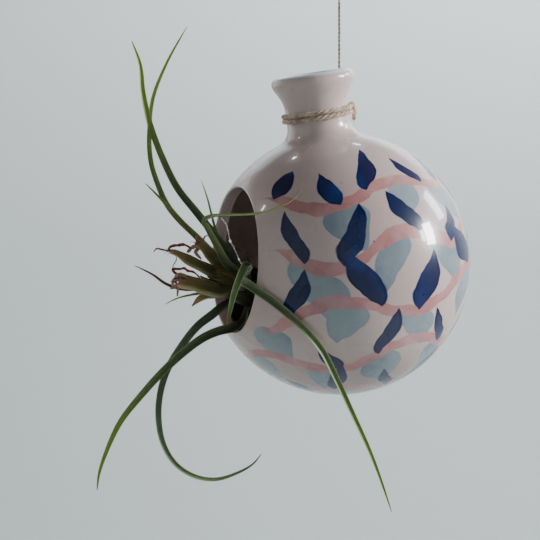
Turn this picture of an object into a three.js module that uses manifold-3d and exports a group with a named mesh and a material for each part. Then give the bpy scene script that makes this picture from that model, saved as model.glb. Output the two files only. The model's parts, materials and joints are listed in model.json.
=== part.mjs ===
import * as THREE from "three";
import { mergeVertices } from "three/addons/utils/BufferGeometryUtils.js";
import Module from "manifold-3d";

// A glazed ceramic globe with a flared neck and a round side mouth, hung by a twine from a
// tied loop. An air plant sits in the mouth. Millimetres, +Z up. The origin is where a hook
// bears inside the top loop. The photographed side faces -Y, with the mouth towards -X.

// Pot
const GLOBE_RADIUS = 50;
const WALL = 4;
const CAVITY_DRIFT = 0.8;
const DRIFT_AZIMUTH = 354;
const FOOT_RADIUS = 12;
const NECK_RADIUS = 11.8;
const SHOULDER_FILLET = 7;
const NECK_LENGTH = 18.4;
const RIM_RADIUS = 15.5;
const LIP_ROUND = 2.6;
const FLARE_START = 0.55;
const FLARE_END = 0.75;
const MOUTH_RADIUS = 26.8;
const MOUTH_AZIMUTH = 199;
const MOUTH_ELEVATION = 13;

// Twine and cord
const TWINE_DIAMETER = 1.6;
const BINDING_RISE = 3;
const BINDING_TURNS = 2;
const STRAND_GAP = 0.5;
const LEVEL_AZIMUTH = 270;
const LEVEL_SHARE = 0.6;
const TIE_AZIMUTH = 53;
const TIE_KNOT_RADIUS = 1.7;
const TIE_KNOT_TURNS = 3;
const KNOT_GROOVE = 0.1;
const CORD_DIAMETER = 1;
const CORD_LENGTH = 45;
const CORD_RIM_CLEARANCE = 2.35;
const LOOP_HEIGHT = 24;
const LOOP_WIDTH = 10;
const LOOP_KNOT_RADIUS = 1.6;

// Plant, with the leaves' points and widths in plant units
const PLANT_UNIT = 1;
const BASE_RADIUS = 6.5;
const BASE_LENGTH = 25;
const BASE_BELLY = 0.85;
const BASE_INWARD = 3.5;
const BASE_NEARWARD = 5.5;
const BASE_DROP = 8.5;
const BASE_TURN = -15;
const BASE_TILT = 15;
const BLADE_ROOT = 0.8;
const BLADE_FLATNESS = 0.62;
const BLADE_TIP = 0.3;
const POD_START = 0.25;

// Gap between pieces that touch
const SEAT_GAP = 0.3;

// Facets
const POT_SEGMENTS = 48;
const GLOBE_STEPS = 20;
const ROUND_STEPS = 4;
const LIP_STEPS = 6;
const KNOT_SEGMENTS = 12;
const BASE_STEPS = 12;
const BASE_SEGMENTS = 16;
const CORD_SIDES = 8;
const CORD_STEPS = 18;
const TAIL_STEPS = 14;
const TOP_LOOP_STEPS = 26;
const GAP_SAMPLES = 600;
const LOOP_STEPS = 24;
const LOOP_SIDES = 6;
const BLADE_SIDES = 6;
const BLADE_STEPS = 18;

const { clamp, degToRad, radToDeg, smoothstep } = THREE.MathUtils;
const vec = (x, y, z) => new THREE.Vector3(x, y, z);

const wasm = await Module();
wasm.setup();

function solidOf(geometry) {
  const bare = geometry.clone();
  bare.deleteAttribute("normal");
  bare.deleteAttribute("uv");
  const merged = mergeVertices(bare, 1e-4);
  const index = merged.index.array;
  const triangles = [];
  for (let i = 0; i < index.length; i += 3) {
    const [a, b, c] = [index[i], index[i + 1], index[i + 2]];
    if (a !== b && b !== c && c !== a) triangles.push(a, b, c);
  }
  const mesh = new wasm.Mesh({
    numProp: 3,
    vertProperties: new Float32Array(merged.attributes.position.array),
    triVerts: new Uint32Array(triangles),
  });
  return new wasm.Manifold(mesh);
}

function geometryOf(solid) {
  const mesh = solid.getMesh();
  const geometry = new THREE.BufferGeometry();
  geometry.setAttribute("position", new THREE.BufferAttribute(mesh.vertProperties, 3));
  geometry.setIndex(new THREE.BufferAttribute(mesh.triVerts, 1));
  return geometry;
}

function piece(name, geometry, color, roughness) {
  const material = new THREE.MeshStandardMaterial({ color, roughness, metalness: 0 });
  const mesh = new THREE.Mesh(geometry, material);
  mesh.name = name;
  return mesh;
}

function polygon(radius, sides) {
  const corners = [];
  for (let i = 0; i < sides; i += 1) {
    const turn = (2 * Math.PI * i) / sides;
    corners.push(new THREE.Vector2(radius * Math.cos(turn), radius * Math.sin(turn)));
  }
  return new THREE.Shape(corners);
}

function tube(path, diameter, sides, steps) {
  const settings = { extrudePath: path, steps, bevelEnabled: false };
  return new THREE.ExtrudeGeometry(polygon(diameter / 2, sides), settings);
}

// A point given by its azimuth in degrees, its distance from the upright axis and its height
function aroundAxis(azimuth, radius, height) {
  const turn = degToRad(azimuth);
  return vec(radius * Math.cos(turn), radius * Math.sin(turn), height);
}

// Heights above the globe's centre
const filletReach = GLOBE_RADIUS + SHOULDER_FILLET;
const filletOut = NECK_RADIUS + SHOULDER_FILLET;
const neckBottom = Math.sqrt(filletReach ** 2 - filletOut ** 2);
const bindingHeight = neckBottom + BINDING_RISE;
const rimTop = neckBottom + NECK_LENGTH;
const lipHeight = rimTop - LIP_ROUND;
const pitch = TWINE_DIAMETER + STRAND_GAP;
const flareBottom = bindingHeight + pitch;

// Pot wall: outside from the flat foot up to the lip, then inside back down to the axis
function arc(x, y, radius, from, to, steps) {
  return new THREE.EllipseCurve(x, y, radius, radius, from, to, to < from).getPoints(steps);
}

function flare(fromRadius, fromHeight, toRadius, toHeight, steps) {
  const rise = toHeight - fromHeight;
  const curve = new THREE.CubicBezierCurve(
    new THREE.Vector2(fromRadius, fromHeight),
    new THREE.Vector2(fromRadius, fromHeight + FLARE_START * rise),
    new THREE.Vector2(toRadius, fromHeight + FLARE_END * rise),
    new THREE.Vector2(toRadius, toHeight),
  );
  return curve.getPoints(steps);
}

function potWall() {
  const shoulder = Math.atan2(neckBottom, filletOut);
  const footEdge = -Math.acos(FOOT_RADIUS / GLOBE_RADIUS);
  const lipMiddle = RIM_RADIUS - LIP_ROUND;
  const bore = NECK_RADIUS - WALL;
  const innerFillet = SHOULDER_FILLET + WALL;
  const outside = [
    new THREE.Vector2(0, GLOBE_RADIUS * Math.sin(footEdge)),
    ...arc(0, 0, GLOBE_RADIUS, footEdge, shoulder, GLOBE_STEPS),
    ...arc(filletOut, neckBottom, SHOULDER_FILLET, Math.PI + shoulder, Math.PI, ROUND_STEPS).slice(1),
    ...flare(NECK_RADIUS, flareBottom, RIM_RADIUS, lipHeight, LIP_STEPS),
    ...arc(lipMiddle, lipHeight, LIP_ROUND, 0, Math.PI, LIP_STEPS).slice(1),
  ];
  const inside = [
    ...flare(bore, flareBottom, lipMiddle - LIP_ROUND, lipHeight, LIP_STEPS).reverse().slice(1),
    ...arc(filletOut, neckBottom, innerFillet, Math.PI, Math.PI + shoulder, ROUND_STEPS),
    ...arc(0, 0, GLOBE_RADIUS - WALL, shoulder, -Math.PI / 2, GLOBE_STEPS).slice(1),
  ];
  inside.at(-1).x = 0;
  const wall = new THREE.LatheGeometry([...outside, ...inside], POT_SEGMENTS);
  return driftCavity(wall.rotateX(Math.PI / 2));
}

// The wall is hand formed: the cavity lies a little off centre, fading out up to the neck
function driftCavity(wall) {
  const place = wall.attributes.position;
  const drift = aroundAxis(DRIFT_AZIMUTH, CAVITY_DRIFT, 0);
  const middleOfWall = GLOBE_RADIUS - WALL / 2;
  const point = new THREE.Vector3();
  for (let i = 0; i < place.count; i += 1) {
    point.fromBufferAttribute(place, i);
    if (point.length() > middleOfWall) continue;
    point.addScaledVector(drift, 1 - smoothstep(point.z, 0, neckBottom));
    place.setXYZ(i, point.x, point.y, point.z);
  }
  return wall;
}

// The mouth's own frame: x out along its axis, y towards the near side, z up
const mouthDepth = Math.sqrt(GLOBE_RADIUS ** 2 - MOUTH_RADIUS ** 2);
const mouthTurn = new THREE.Quaternion().setFromRotationMatrix(
  new THREE.Matrix4()
    .makeRotationZ(degToRad(MOUTH_AZIMUTH))
    .multiply(new THREE.Matrix4().makeRotationY(-degToRad(MOUTH_ELEVATION))),
);
const mouthCentre = vec(mouthDepth, 0, 0).applyQuaternion(mouthTurn);

function globePot() {
  const length = GLOBE_RADIUS + mouthDepth;
  const cutter = new THREE.CylinderGeometry(MOUTH_RADIUS, MOUTH_RADIUS, length, POT_SEGMENTS);
  cutter.rotateZ(Math.PI / 2).translate(length / 2, 0, 0).applyQuaternion(mouthTurn);
  return geometryOf(solidOf(potWall()).subtract(solidOf(cutter)));
}

// The twine lies on the neck, and the tie knot stands outside it
const bindingRadius = NECK_RADIUS + SEAT_GAP + TWINE_DIAMETER / 2;
const outsideBinding = bindingRadius + TWINE_DIAMETER / 2 + SEAT_GAP;
const tieRadius = outsideBinding + TIE_KNOT_RADIUS;
const tieHalf = (pitch * BINDING_TURNS) / 2;
const tiePoint = aroundAxis(TIE_AZIMUTH, tieRadius, bindingHeight + tieHalf);

// The winding: it lies level across the near side and climbs behind. Both ends leave the neck
// on a tangent and run straight to the tie knot.
class Winding extends THREE.Curve {
  constructor() {
    super();
    this.release = Math.acos(bindingRadius / tieRadius);
    this.wrap = 2 * Math.PI * BINDING_TURNS - 2 * this.release;
    const toKnot = bindingRadius * Math.tan(this.release);
    this.straight = toKnot - TIE_KNOT_RADIUS - SEAT_GAP;
    this.whole = this.wrap * bindingRadius + 2 * this.straight;
    this.level = degToRad(LEVEL_AZIMUTH - TIE_AZIMUTH) - this.release;
    this.middle = this.climbed(this.wrap / 2);
  }

  climbed(round) {
    const levelled = round - LEVEL_SHARE * Math.sin(round - this.level);
    return (pitch * levelled) / (2 * Math.PI);
  }

  getPoint(t, target = new THREE.Vector3()) {
    const along = t * this.whole - this.straight;
    const round = clamp(along / bindingRadius, 0, this.wrap);
    const past = along - round * bindingRadius;
    const turn = degToRad(TIE_AZIMUTH) + this.release + round;
    return target.set(
      bindingRadius * Math.cos(turn) - past * Math.sin(turn),
      bindingRadius * Math.sin(turn) + past * Math.cos(turn),
      bindingHeight + this.climbed(round) - this.middle,
    );
  }
}

function leastGap(path, diameter) {
  const points = path.getSpacedPoints(GAP_SAMPLES);
  const apart = Math.ceil((GAP_SAMPLES * 4 * diameter) / path.getLength());
  let least = Infinity;
  for (let i = 0; i < points.length; i += 1) {
    for (let j = i + apart; j < points.length; j += 1) {
      least = Math.min(least, points[i].distanceTo(points[j]));
    }
  }
  return least - diameter;
}

function neckBinding() {
  const path = new Winding();
  const gap = leastGap(path, TWINE_DIAMETER);
  console.log(`neck binding: least gap to itself ${gap.toFixed(2)} mm`);
  return tube(path, TWINE_DIAMETER, LOOP_SIDES, LOOP_STEPS * BINDING_TURNS);
}

// The twine's cut end leaves the knot between the strands, climbs over the upper one and
// turns down across both of them
function bindingTail() {
  const over = outsideBinding + TWINE_DIAMETER / 2;
  const start = TIE_AZIMUTH - radToDeg((TIE_KNOT_RADIUS + SEAT_GAP) / tieRadius);
  const path = new THREE.CatmullRomCurve3([
    aroundAxis(start, tieRadius, bindingHeight),
    aroundAxis(start - 7, tieRadius, bindingHeight + 0.1 * pitch),
    aroundAxis(start - 13, over + 0.7, bindingHeight + 0.5 * pitch),
    aroundAxis(start - 19, over + 0.4, bindingHeight + 0.8 * pitch),
    aroundAxis(start - 25, over + 0.1, bindingHeight + 0.6 * pitch),
    aroundAxis(start - 28, over, bindingHeight),
    aroundAxis(start - 28, over, bindingHeight - 0.7 * pitch),
    aroundAxis(start - 27, over, bindingHeight - 1.3 * pitch),
    aroundAxis(start - 25, over - 0.2, bindingHeight - 1.8 * pitch),
  ]);
  return tube(path, TWINE_DIAMETER, CORD_SIDES, TAIL_STEPS);
}

// A knot of twine: a ball, or an upright barrel with a bulge for each turn
function knot(radius, half, turns) {
  const lower = arc(0, -half, radius, -Math.PI / 2, 0, ROUND_STEPS);
  const upper = arc(0, half, radius, 0, Math.PI / 2, ROUND_STEPS);
  const waist = [];
  const steps = ROUND_STEPS * turns;
  for (let i = 1; i < steps; i += 1) {
    const groove = (1 - Math.cos((2 * Math.PI * turns * i) / steps)) / 2;
    waist.push(new THREE.Vector2(radius * (1 - KNOT_GROOVE * groove), half * ((2 * i) / steps - 1)));
  }
  lower[0].x = 0;
  upper.at(-1).x = 0;
  const profile = [...lower, ...waist, ...(turns ? upper : upper.slice(1))];
  return new THREE.LatheGeometry(profile, KNOT_SEGMENTS).rotateX(Math.PI / 2);
}

// Cord, loop knot and loop hang on the Z axis
const loopKnotHeight = -LOOP_HEIGHT;
const cordTop = loopKnotHeight - LOOP_KNOT_RADIUS - SEAT_GAP;
const cordBottom = cordTop - CORD_LENGTH;
const tieHeight = cordBottom - SEAT_GAP - TIE_KNOT_RADIUS;

function hangingCord() {
  const path = new THREE.LineCurve3(vec(0, 0, cordTop), vec(0, 0, cordBottom));
  return tube(path, CORD_DIAMETER, CORD_SIDES, CORD_STEPS);
}

function hangingLoop() {
  const foot = LOOP_KNOT_RADIUS + SEAT_GAP;
  const side = CORD_DIAMETER / 2 + SEAT_GAP;
  const leg = [
    vec(side, 0, loopKnotHeight + foot),
    vec(1.7 * side, 0, loopKnotHeight + 2.2 * foot),
    vec(0.3 * LOOP_WIDTH, 0, -0.58 * LOOP_HEIGHT),
    vec(0.47 * LOOP_WIDTH, 0, -0.33 * LOOP_HEIGHT),
    vec(0.4 * LOOP_WIDTH, 0, -0.11 * LOOP_HEIGHT),
  ];
  const top = vec(0, 0, CORD_DIAMETER / 2);
  const back = leg.map((p) => vec(-p.x, p.y, p.z)).reverse();
  const path = new THREE.CatmullRomCurve3([...leg, top, ...back]);
  return tube(path, CORD_DIAMETER, CORD_SIDES, TOP_LOOP_STEPS);
}

// The plant's base: a bulb whose axis points out of the mouth and a little up
const baseMiddle = vec(-BASE_INWARD, BASE_NEARWARD, -BASE_DROP);
const baseTilt = degToRad(BASE_TILT);
const baseAxis = aroundAxis(BASE_TURN, Math.cos(baseTilt), Math.sin(baseTilt));
const baseNear = vec(0, 0, 1).cross(baseAxis).normalize();
const baseUp = baseAxis.clone().cross(baseNear);

function baseProfile(along) {
  const t = clamp(along / BASE_LENGTH + 0.5, 0, 1);
  return BASE_RADIUS * Math.sqrt(Math.sin(Math.PI * t ** BASE_BELLY));
}

function plantBase(grow) {
  const half = BASE_LENGTH / 2;
  const profile = [new THREE.Vector2(0, -half - grow)];
  for (let i = 1; i < BASE_STEPS; i += 1) {
    const along = BASE_LENGTH * (i / BASE_STEPS - 0.5);
    profile.push(new THREE.Vector2(baseProfile(along) + grow, along));
  }
  profile.push(new THREE.Vector2(0, half + grow));
  const bulb = new THREE.LatheGeometry(profile, BASE_SEGMENTS);
  const place = new THREE.Matrix4().makeBasis(baseUp, baseAxis, baseNear).setPosition(baseMiddle);
  return solidOf(bulb.applyMatrix4(place));
}

// A point in the mouth's frame: out of it, towards the near side and up
const spot = (out, near, up) => vec(out, near, up).multiplyScalar(PLANT_UNIT);

// A point on the base: distance along its axis, and the turn round it from up towards near
function onBase(distance, turn) {
  const along = distance * PLANT_UNIT;
  const angle = degToRad(turn);
  const out = BLADE_ROOT * baseProfile(along);
  const point = baseMiddle.clone().addScaledVector(baseAxis, along);
  point.addScaledVector(baseUp, out * Math.cos(angle));
  return point.addScaledVector(baseNear, out * Math.sin(angle));
}

// A point off the globe: the angle from the mouth's axis, the turn round it and the lift
function overGlobe(polar, turn, lift) {
  const [tilt, round] = [degToRad(polar), degToRad(turn)];
  const reach = GLOBE_RADIUS + lift * PLANT_UNIT;
  const side = reach * Math.sin(tilt);
  return vec(
    reach * Math.cos(tilt) - mouthDepth,
    side * Math.sin(round),
    side * Math.cos(round),
  );
}

// Points measured from the mouth's lower edge and from its near edge
const overSill = (out, near, lift) => spot(out, near, lift).add(vec(0, 0, -MOUTH_RADIUS));
const overJamb = (out, past, up) => spot(out, past, up).add(vec(0, MOUTH_RADIUS, 0));

const GREEN = 0x4d6a2e;
const DARK_GREEN = 0x34482a;
const PALE_GREEN = 0x8c9a4a;
const DRY_BROWN = 0x6b4a36;
const BRACT = 0x6a6234;

// Blades in the order in which they wrap each other at the base. A full blade keeps its width
// towards the tip, and a pod is widest a third of the way along.
const BLADES = [
  {
    name: "leaf_front_long", color: GREEN, width: 3.7, full: 0.9,
    points: [
      onBase(0, 85), overJamb(2, -8.5, -6), overGlobe(30, 101, 2.2), overGlobe(36, 103.5, 1.9),
      overGlobe(44, 107, 1.8), overGlobe(52, 111.5, 1.8), overGlobe(59, 116, 2.1),
      overGlobe(66.5, 121.7, 3.6), overGlobe(74, 128.9, 8.5), overGlobe(81.3, 135.4, 17),
      overGlobe(87.3, 140.6, 28.1), overGlobe(90.6, 144.2, 37.7), overGlobe(92.6, 146.6, 46.1),
    ],
  },
  {
    name: "leaf_low_left", color: DARK_GREEN, width: 3.3, full: 1.5,
    points: [
      onBase(-6, 170), overSill(-6, 5.5, 9.8), overSill(-3.5, 7.5, 5), overSill(1, 9, 3),
      overSill(7, 10, 1.8), overSill(13.5, 11.5, -0.7), overSill(20.5, 11.5, -6.2),
      overSill(27.2, 10.9, -13), overSill(33.7, 9.7, -21.2), overSill(40.3, 7.4, -31.5),
      overSill(44.5, 6.4, -42.1), overSill(46.7, 5.5, -51), overSill(47.1, 5.1, -57.1),
    ],
  },
  {
    name: "leaf_low_curled", color: DARK_GREEN, width: 2.9, full: 1.3,
    points: [
      onBase(1, 185), spot(3, 5, -16), spot(7.5, 5, -19.5), spot(13, 4.5, -24), spot(18.5, 4, -31.5),
      spot(23, 4, -39.5), spot(25, 4.5, -48), spot(25.5, 5.5, -56.5), spot(23.5, 7, -66),
      spot(19.5, 9.5, -73), spot(13.5, 12.5, -77.5), spot(6, 15, -78.5), spot(-1.5, 17.5, -75.5),
      spot(-6.5, 19, -72), spot(-9.5, 19.5, -68),
    ],
  },
  {
    name: "leaf_bent_over", color: PALE_GREEN, width: 2.8, full: 0.55,
    points: [
      onBase(3, 55), spot(5, 7.8, 0), spot(8, 7, 5), spot(11.5, 5.5, 11), spot(13.5, 6, 14.5),
      spot(12, 9.5, 16.5), overGlobe(25.2, 42, 5.9), overGlobe(32.5, 49.8, 3.8),
      overGlobe(39.8, 53.2, 2.4), overGlobe(46.1, 53, 2), overGlobe(51.1, 52, 2),
      overGlobe(55.4, 48.4, 2.4),
    ],
  },
  {
    name: "leaf_tall_left", color: DARK_GREEN, width: 3.3, full: 1.3,
    points: [
      onBase(1, 10), spot(2.5, -1, 3.5), spot(6.5, -5, 9.5), spot(11.5, -8.5, 16), spot(18, -13.1, 24.6),
      spot(23, -17.5, 35), spot(28.5, -21, 47.5), spot(31.3, -22.3, 58.7), spot(33.2, -23.1, 68.9),
      spot(36.1, -23.4, 76.6),
    ],
  },
  {
    name: "leaf_tall_right", color: GREEN, width: 2.6, full: 1.3,
    points: [
      onBase(1, 285), spot(4, -10, 0.5), spot(9.7, -15.4, 6.4), spot(15.6, -19.4, 12),
      spot(19.9, -22.8, 17.4), spot(23.3, -25.8, 24.9), spot(25.7, -28.7, 33.7), spot(25.9, -30.3, 45),
      spot(25.5, -31, 57.5), spot(21.5, -29, 71.5), spot(16, -25.5, 84),
    ],
  },
  {
    name: "leaf_side_left", color: GREEN, width: 3, full: 1.1,
    points: [
      onBase(4, 330), spot(5, -4, 0), spot(12, -8.5, 7), spot(18.5, -13, 14), spot(24, -17, 20),
      spot(29.5, -20.5, 25.5),
    ],
  },
  {
    name: "leaf_front_short", color: PALE_GREEN, width: 2.9, full: 1.6,
    points: [
      onBase(-4, 65), overJamb(1, -6, 0.5), overJamb(3, -1.8, 2.5), overJamb(5.5, 1.2, -0.5),
      overJamb(7, 2.2, -4.5), overJamb(8, 2.2, -10), overJamb(8.5, 2.2, -14.5),
      overJamb(9, 2.2, -19),
    ],
  },
  {
    name: "bract_middle", color: BRACT, width: 4.4, pod: true,
    points: [
      onBase(10, 60), spot(8.5, 4.5, -4.2), spot(12, 3.5, -2.7), spot(17, 1.5, -0.5), spot(21, -0.5, 1.7),
      spot(24, -1.5, 2.5),
    ],
  },
  {
    name: "bract_lower", color: BRACT, width: 5.2, pod: true,
    points: [
      onBase(8, 125), spot(6.5, 9, -10), spot(11, 7.5, -9), spot(16.5, 5.5, -7.5), spot(21, 4, -6.5),
    ],
  },
  {
    name: "bract_upper", color: BRACT, width: 4.2, pod: true,
    points: [onBase(9, 350), spot(7, -1.5, 0), spot(10, -3.5, 3.5), spot(12.5, -4.5, 5.5)],
  },
  {
    name: "bract_bottom", color: DRY_BROWN, width: 2.8, pod: true,
    points: [
      onBase(7, 200), spot(7, 2.5, -13.4), spot(9.5, 2, -14), spot(12, 1.5, -15), spot(14.5, 1, -17.5),
    ],
  },
  {
    name: "leaf_fine_upright", color: PALE_GREEN, width: 1.2, full: 1,
    points: [
      onBase(-3, 325), spot(-0.5, -9.5, 2.5), spot(3, -11, 8), spot(5.5, -11.5, 15), spot(7.5, -12, 21.5),
      spot(10, -13, 28),
    ],
  },
  {
    name: "leaf_fine_low", color: PALE_GREEN, width: 1, full: 1,
    points: [
      onBase(6, 225), spot(9, -6, -13.5), spot(13, -7.5, -14.5), spot(17.5, -9, -16),
      spot(22, -10, -18.5),
    ],
  },
  {
    name: "leaf_dry_left", color: DRY_BROWN, width: 1.3, full: 1,
    points: [
      onBase(5, 255), spot(8, -8.5, -12), spot(15, -11.5, -13), spot(21, -13, -11.5), spot(26.5, -14.5, -8),
      spot(33, -16, -5),
    ],
  },
  {
    name: "leaf_dry_inside", color: DRY_BROWN, width: 2.6, full: 1,
    points: [onBase(-8, 320), spot(-9, -4, -2), spot(-8, -8.5, 2), spot(-4, -11, 3)],
  },
];

function halfWidth(blade, t) {
  const full = (blade.width * PLANT_UNIT) / 2;
  const shape = blade.pod
    ? Math.sin(Math.PI * (POD_START + (1 - POD_START) * t))
    : Math.sqrt(1 - t ** blade.full);
  return Math.max(full * shape, BLADE_TIP);
}

// A blade is a straight rod bent along its path, with its face turned from the plant's axis
function bladeSolid(blade, grow) {
  const path = new THREE.CatmullRomCurve3(blade.points, false, "centripetal");
  const rod = new THREE.CylinderGeometry(1, 1, 1, BLADE_SIDES, BLADE_STEPS);
  const rings = [];
  let face = baseAxis.clone();
  for (let i = 0; i <= BLADE_STEPS; i += 1) {
    const t = i / BLADE_STEPS;
    const along = path.getTangentAt(t);
    face = face.clone().addScaledVector(along, -face.dot(along)).normalize();
    rings.push({ middle: path.getPointAt(t), across: along.clone().cross(face), face });
  }
  rings[0].middle.addScaledVector(path.getTangentAt(0), -grow);
  rings.at(-1).middle.addScaledVector(path.getTangentAt(1), grow);
  const place = rod.attributes.position;
  for (let i = 0; i < place.count; i += 1) {
    const t = 0.5 + place.getY(i);
    const ring = rings[Math.round(t * BLADE_STEPS)];
    const half = halfWidth(blade, t);
    const point = ring.middle.clone();
    point.addScaledVector(ring.across, place.getX(i) * (half + grow));
    point.addScaledVector(ring.face, place.getZ(i) * (half * BLADE_FLATNESS + grow));
    place.setXYZ(i, point.x, point.y, point.z);
  }
  return solidOf(rod);
}

// Each blade is cut clear of the base and of the blades inside it, and keeps its main part
function plantPieces() {
  const pieces = [piece("plant_base", geometryOf(plantBase(0)), DARK_GREEN, 0.6)];
  let inner = plantBase(SEAT_GAP);
  for (const blade of BLADES) {
    const parts = bladeSolid(blade, 0).subtract(inner).decompose();
    parts.sort((a, b) => b.volume() - a.volume());
    pieces.push(piece(blade.name, geometryOf(parts[0]), blade.color, 0.55));
    inner = inner.add(bladeSolid(blade, SEAT_GAP));
  }
  return pieces;
}

// Assembly: the pot leans so that the upright cord from the tie knot clears the rim
const rimReach = RIM_RADIUS + CORD_DIAMETER / 2 + CORD_RIM_CLEARANCE - tieRadius;
const lean = Math.atan2(rimReach, lipHeight - tiePoint.z);
const leanAxis = vec(Math.sin(degToRad(TIE_AZIMUTH)), -Math.cos(degToRad(TIE_AZIMUTH)), 0);

const plant = new THREE.Group();
plant.position.copy(mouthCentre);
plant.quaternion.copy(mouthTurn);
plant.add(...plantPieces());

const pot = new THREE.Group();
pot.position.copy(tiePoint).negate();
const tieKnot = piece("tie_knot", knot(TIE_KNOT_RADIUS, tieHalf, TIE_KNOT_TURNS), 0x8d7558, 0.95);
tieKnot.position.copy(aroundAxis(TIE_AZIMUTH, tieRadius, bindingHeight));
pot.add(
  piece("globe_pot", globePot(), 0xd9cfc9, 0.2),
  piece("neck_binding", neckBinding(), 0x9a8262, 0.95),
  piece("binding_tail", bindingTail(), 0xa08358, 0.95),
  tieKnot,
  plant,
);

const hungPot = new THREE.Group();
hungPot.position.z = tieHeight;
hungPot.quaternion.setFromAxisAngle(leanAxis, lean);
hungPot.add(pot);

const loopKnot = piece("loop_knot", knot(LOOP_KNOT_RADIUS, 0, 0), 0x8d7558, 0.95);
loopKnot.position.z = loopKnotHeight;

const planter = new THREE.Group();
planter.add(
  piece("hanging_loop", hangingLoop(), 0x8a8468, 0.95),
  loopKnot,
  piece("hanging_cord", hangingCord(), 0x8a8468, 0.95),
  hungPot,
);

export default planter;
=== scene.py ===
# %% [markdown]
# # A hung globe planter
# A glazed globe with a flared neck hangs by a thin cord, and an air plant sits in its round
# side mouth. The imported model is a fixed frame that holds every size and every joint. This
# lesson dresses that frame with finer meshes and with materials, one piece at a time.

# %% Load the frame
import json
import math
import random

import bmesh
import bpy
from mathutils import Matrix, Vector
from mathutils.geometry import interpolate_bezier


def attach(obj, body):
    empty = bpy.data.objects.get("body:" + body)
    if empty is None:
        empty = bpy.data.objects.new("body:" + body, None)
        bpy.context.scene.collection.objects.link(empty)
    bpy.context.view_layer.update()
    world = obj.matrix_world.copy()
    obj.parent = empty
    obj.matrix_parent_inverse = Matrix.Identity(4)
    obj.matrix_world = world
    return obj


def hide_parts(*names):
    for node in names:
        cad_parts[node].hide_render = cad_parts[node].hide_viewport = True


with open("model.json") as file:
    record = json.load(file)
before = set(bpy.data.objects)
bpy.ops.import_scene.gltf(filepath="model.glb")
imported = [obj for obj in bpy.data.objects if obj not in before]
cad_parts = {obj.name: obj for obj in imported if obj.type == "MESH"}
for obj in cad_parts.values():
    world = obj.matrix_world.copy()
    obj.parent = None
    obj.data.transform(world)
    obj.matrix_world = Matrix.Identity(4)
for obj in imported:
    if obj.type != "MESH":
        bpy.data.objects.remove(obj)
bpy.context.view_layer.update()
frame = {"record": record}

# %% [markdown]
# ## Where the pot and its mouth are
# The pot was turned on a wheel, so one axis places nearly all of it. The record gives that
# axis: it stands on the flat foot. The mouth is a round hole cut from the side. Its own frame
# has x out of the hole, y towards the near side and z up, and the plant is laid out in it.

# %% Places
MM = 0.001
GLOBE_RADIUS = 50 * MM
FOOT_RADIUS = 12 * MM
MOUTH_RADIUS = 26.8 * MM
MOUTH_AZIMUTH = math.radians(199)
MOUTH_RISE = math.radians(13)
UPRIGHT = Vector((0, 0, 1))

foot = next(mount for mount in frame["record"]["mounts"] if mount["name"] == "foot")
pot_axis = -Vector(foot["axis"]).normalized()
foot_drop = math.sqrt(GLOBE_RADIUS**2 - FOOT_RADIUS**2)
globe_centre = Vector(foot["pos_m"]) + pot_axis * foot_drop
pot_turn = UPRIGHT.rotation_difference(pot_axis)
pot_place = Matrix.Translation(globe_centre) @ pot_turn.to_matrix().to_4x4()

mouth_depth = math.sqrt(GLOBE_RADIUS**2 - MOUTH_RADIUS**2)
mouth_turn = Matrix.Rotation(MOUTH_AZIMUTH, 4, "Z") @ Matrix.Rotation(-MOUTH_RISE, 4, "Y")
mouth_in_pot = mouth_turn @ Matrix.Translation((mouth_depth, 0, 0))
mouth_place = pot_place @ mouth_in_pot
print("globe centre:", globe_centre, "mouth centre:", mouth_place.translation)

# %% [markdown]
# ## Camera
# The photograph looks straight at the pot from about 0.4 m, level with the globe's middle. A
# camera could be turned towards the pot, but a level one keeps the cord upright in the
# picture. The lens follows from the picture's width in pixels and its focal length in pixels.

# %% Camera
PHOTO_PIXELS = 540
FOCAL_PIXELS = 1100
CAMERA_PLACE = Vector((-26.5, -421, -136.5)) * MM

camera_data = bpy.data.cameras.new("photo_camera")
camera_data.sensor_width = 36
camera_data.lens = camera_data.sensor_width * FOCAL_PIXELS / PHOTO_PIXELS
camera = bpy.data.objects.new("photo_camera", camera_data)
camera.location = CAMERA_PLACE
camera.rotation_euler = (math.radians(90), 0, 0)
bpy.context.scene.collection.objects.link(camera)
bpy.context.scene.camera = camera
print("lens:", round(camera_data.lens, 1), "mm")

# %% [markdown]
# ## A way to write materials
# A material is a tree of nodes. Linking nodes one by one hides what they work out, so a
# small class wraps a socket and lets Python's own operators add the Math nodes. All other
# nodes come from one method, which sets the node's settings first and then its sockets.

# %% Values and paints
class Value:
    """One socket of a material, joined to others by Python's operators."""

    def __init__(self, paint, socket):
        self.paint = paint
        self.socket = socket

    def math(self, operation, *terms):
        return self.paint.add("ShaderNodeMath", {"operation": operation}, dict(enumerate(terms)))

    def __add__(self, other):
        return self.math("ADD", self, other)

    def __sub__(self, other):
        return self.math("SUBTRACT", self, other)

    def __rsub__(self, other):
        return self.math("SUBTRACT", other, self)

    def __mul__(self, other):
        return self.math("MULTIPLY", self, other)

    def __truediv__(self, other):
        return self.math("DIVIDE", self, other)

    def __pow__(self, other):
        return self.math("POWER", self, other)

    __radd__ = __add__
    __rmul__ = __mul__

    def size(self):
        return self.math("ABSOLUTE", self)

    def most(self, other):
        return self.math("MAXIMUM", self, other)

    def rise(self, low, high):
        """Goes smoothly from 0 at low to 1 at high."""
        ends = {"Value": self, "From Min": low, "From Max": high}
        return self.paint.add("ShaderNodeMapRange", {"interpolation_type": "SMOOTHSTEP"}, ends)


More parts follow.
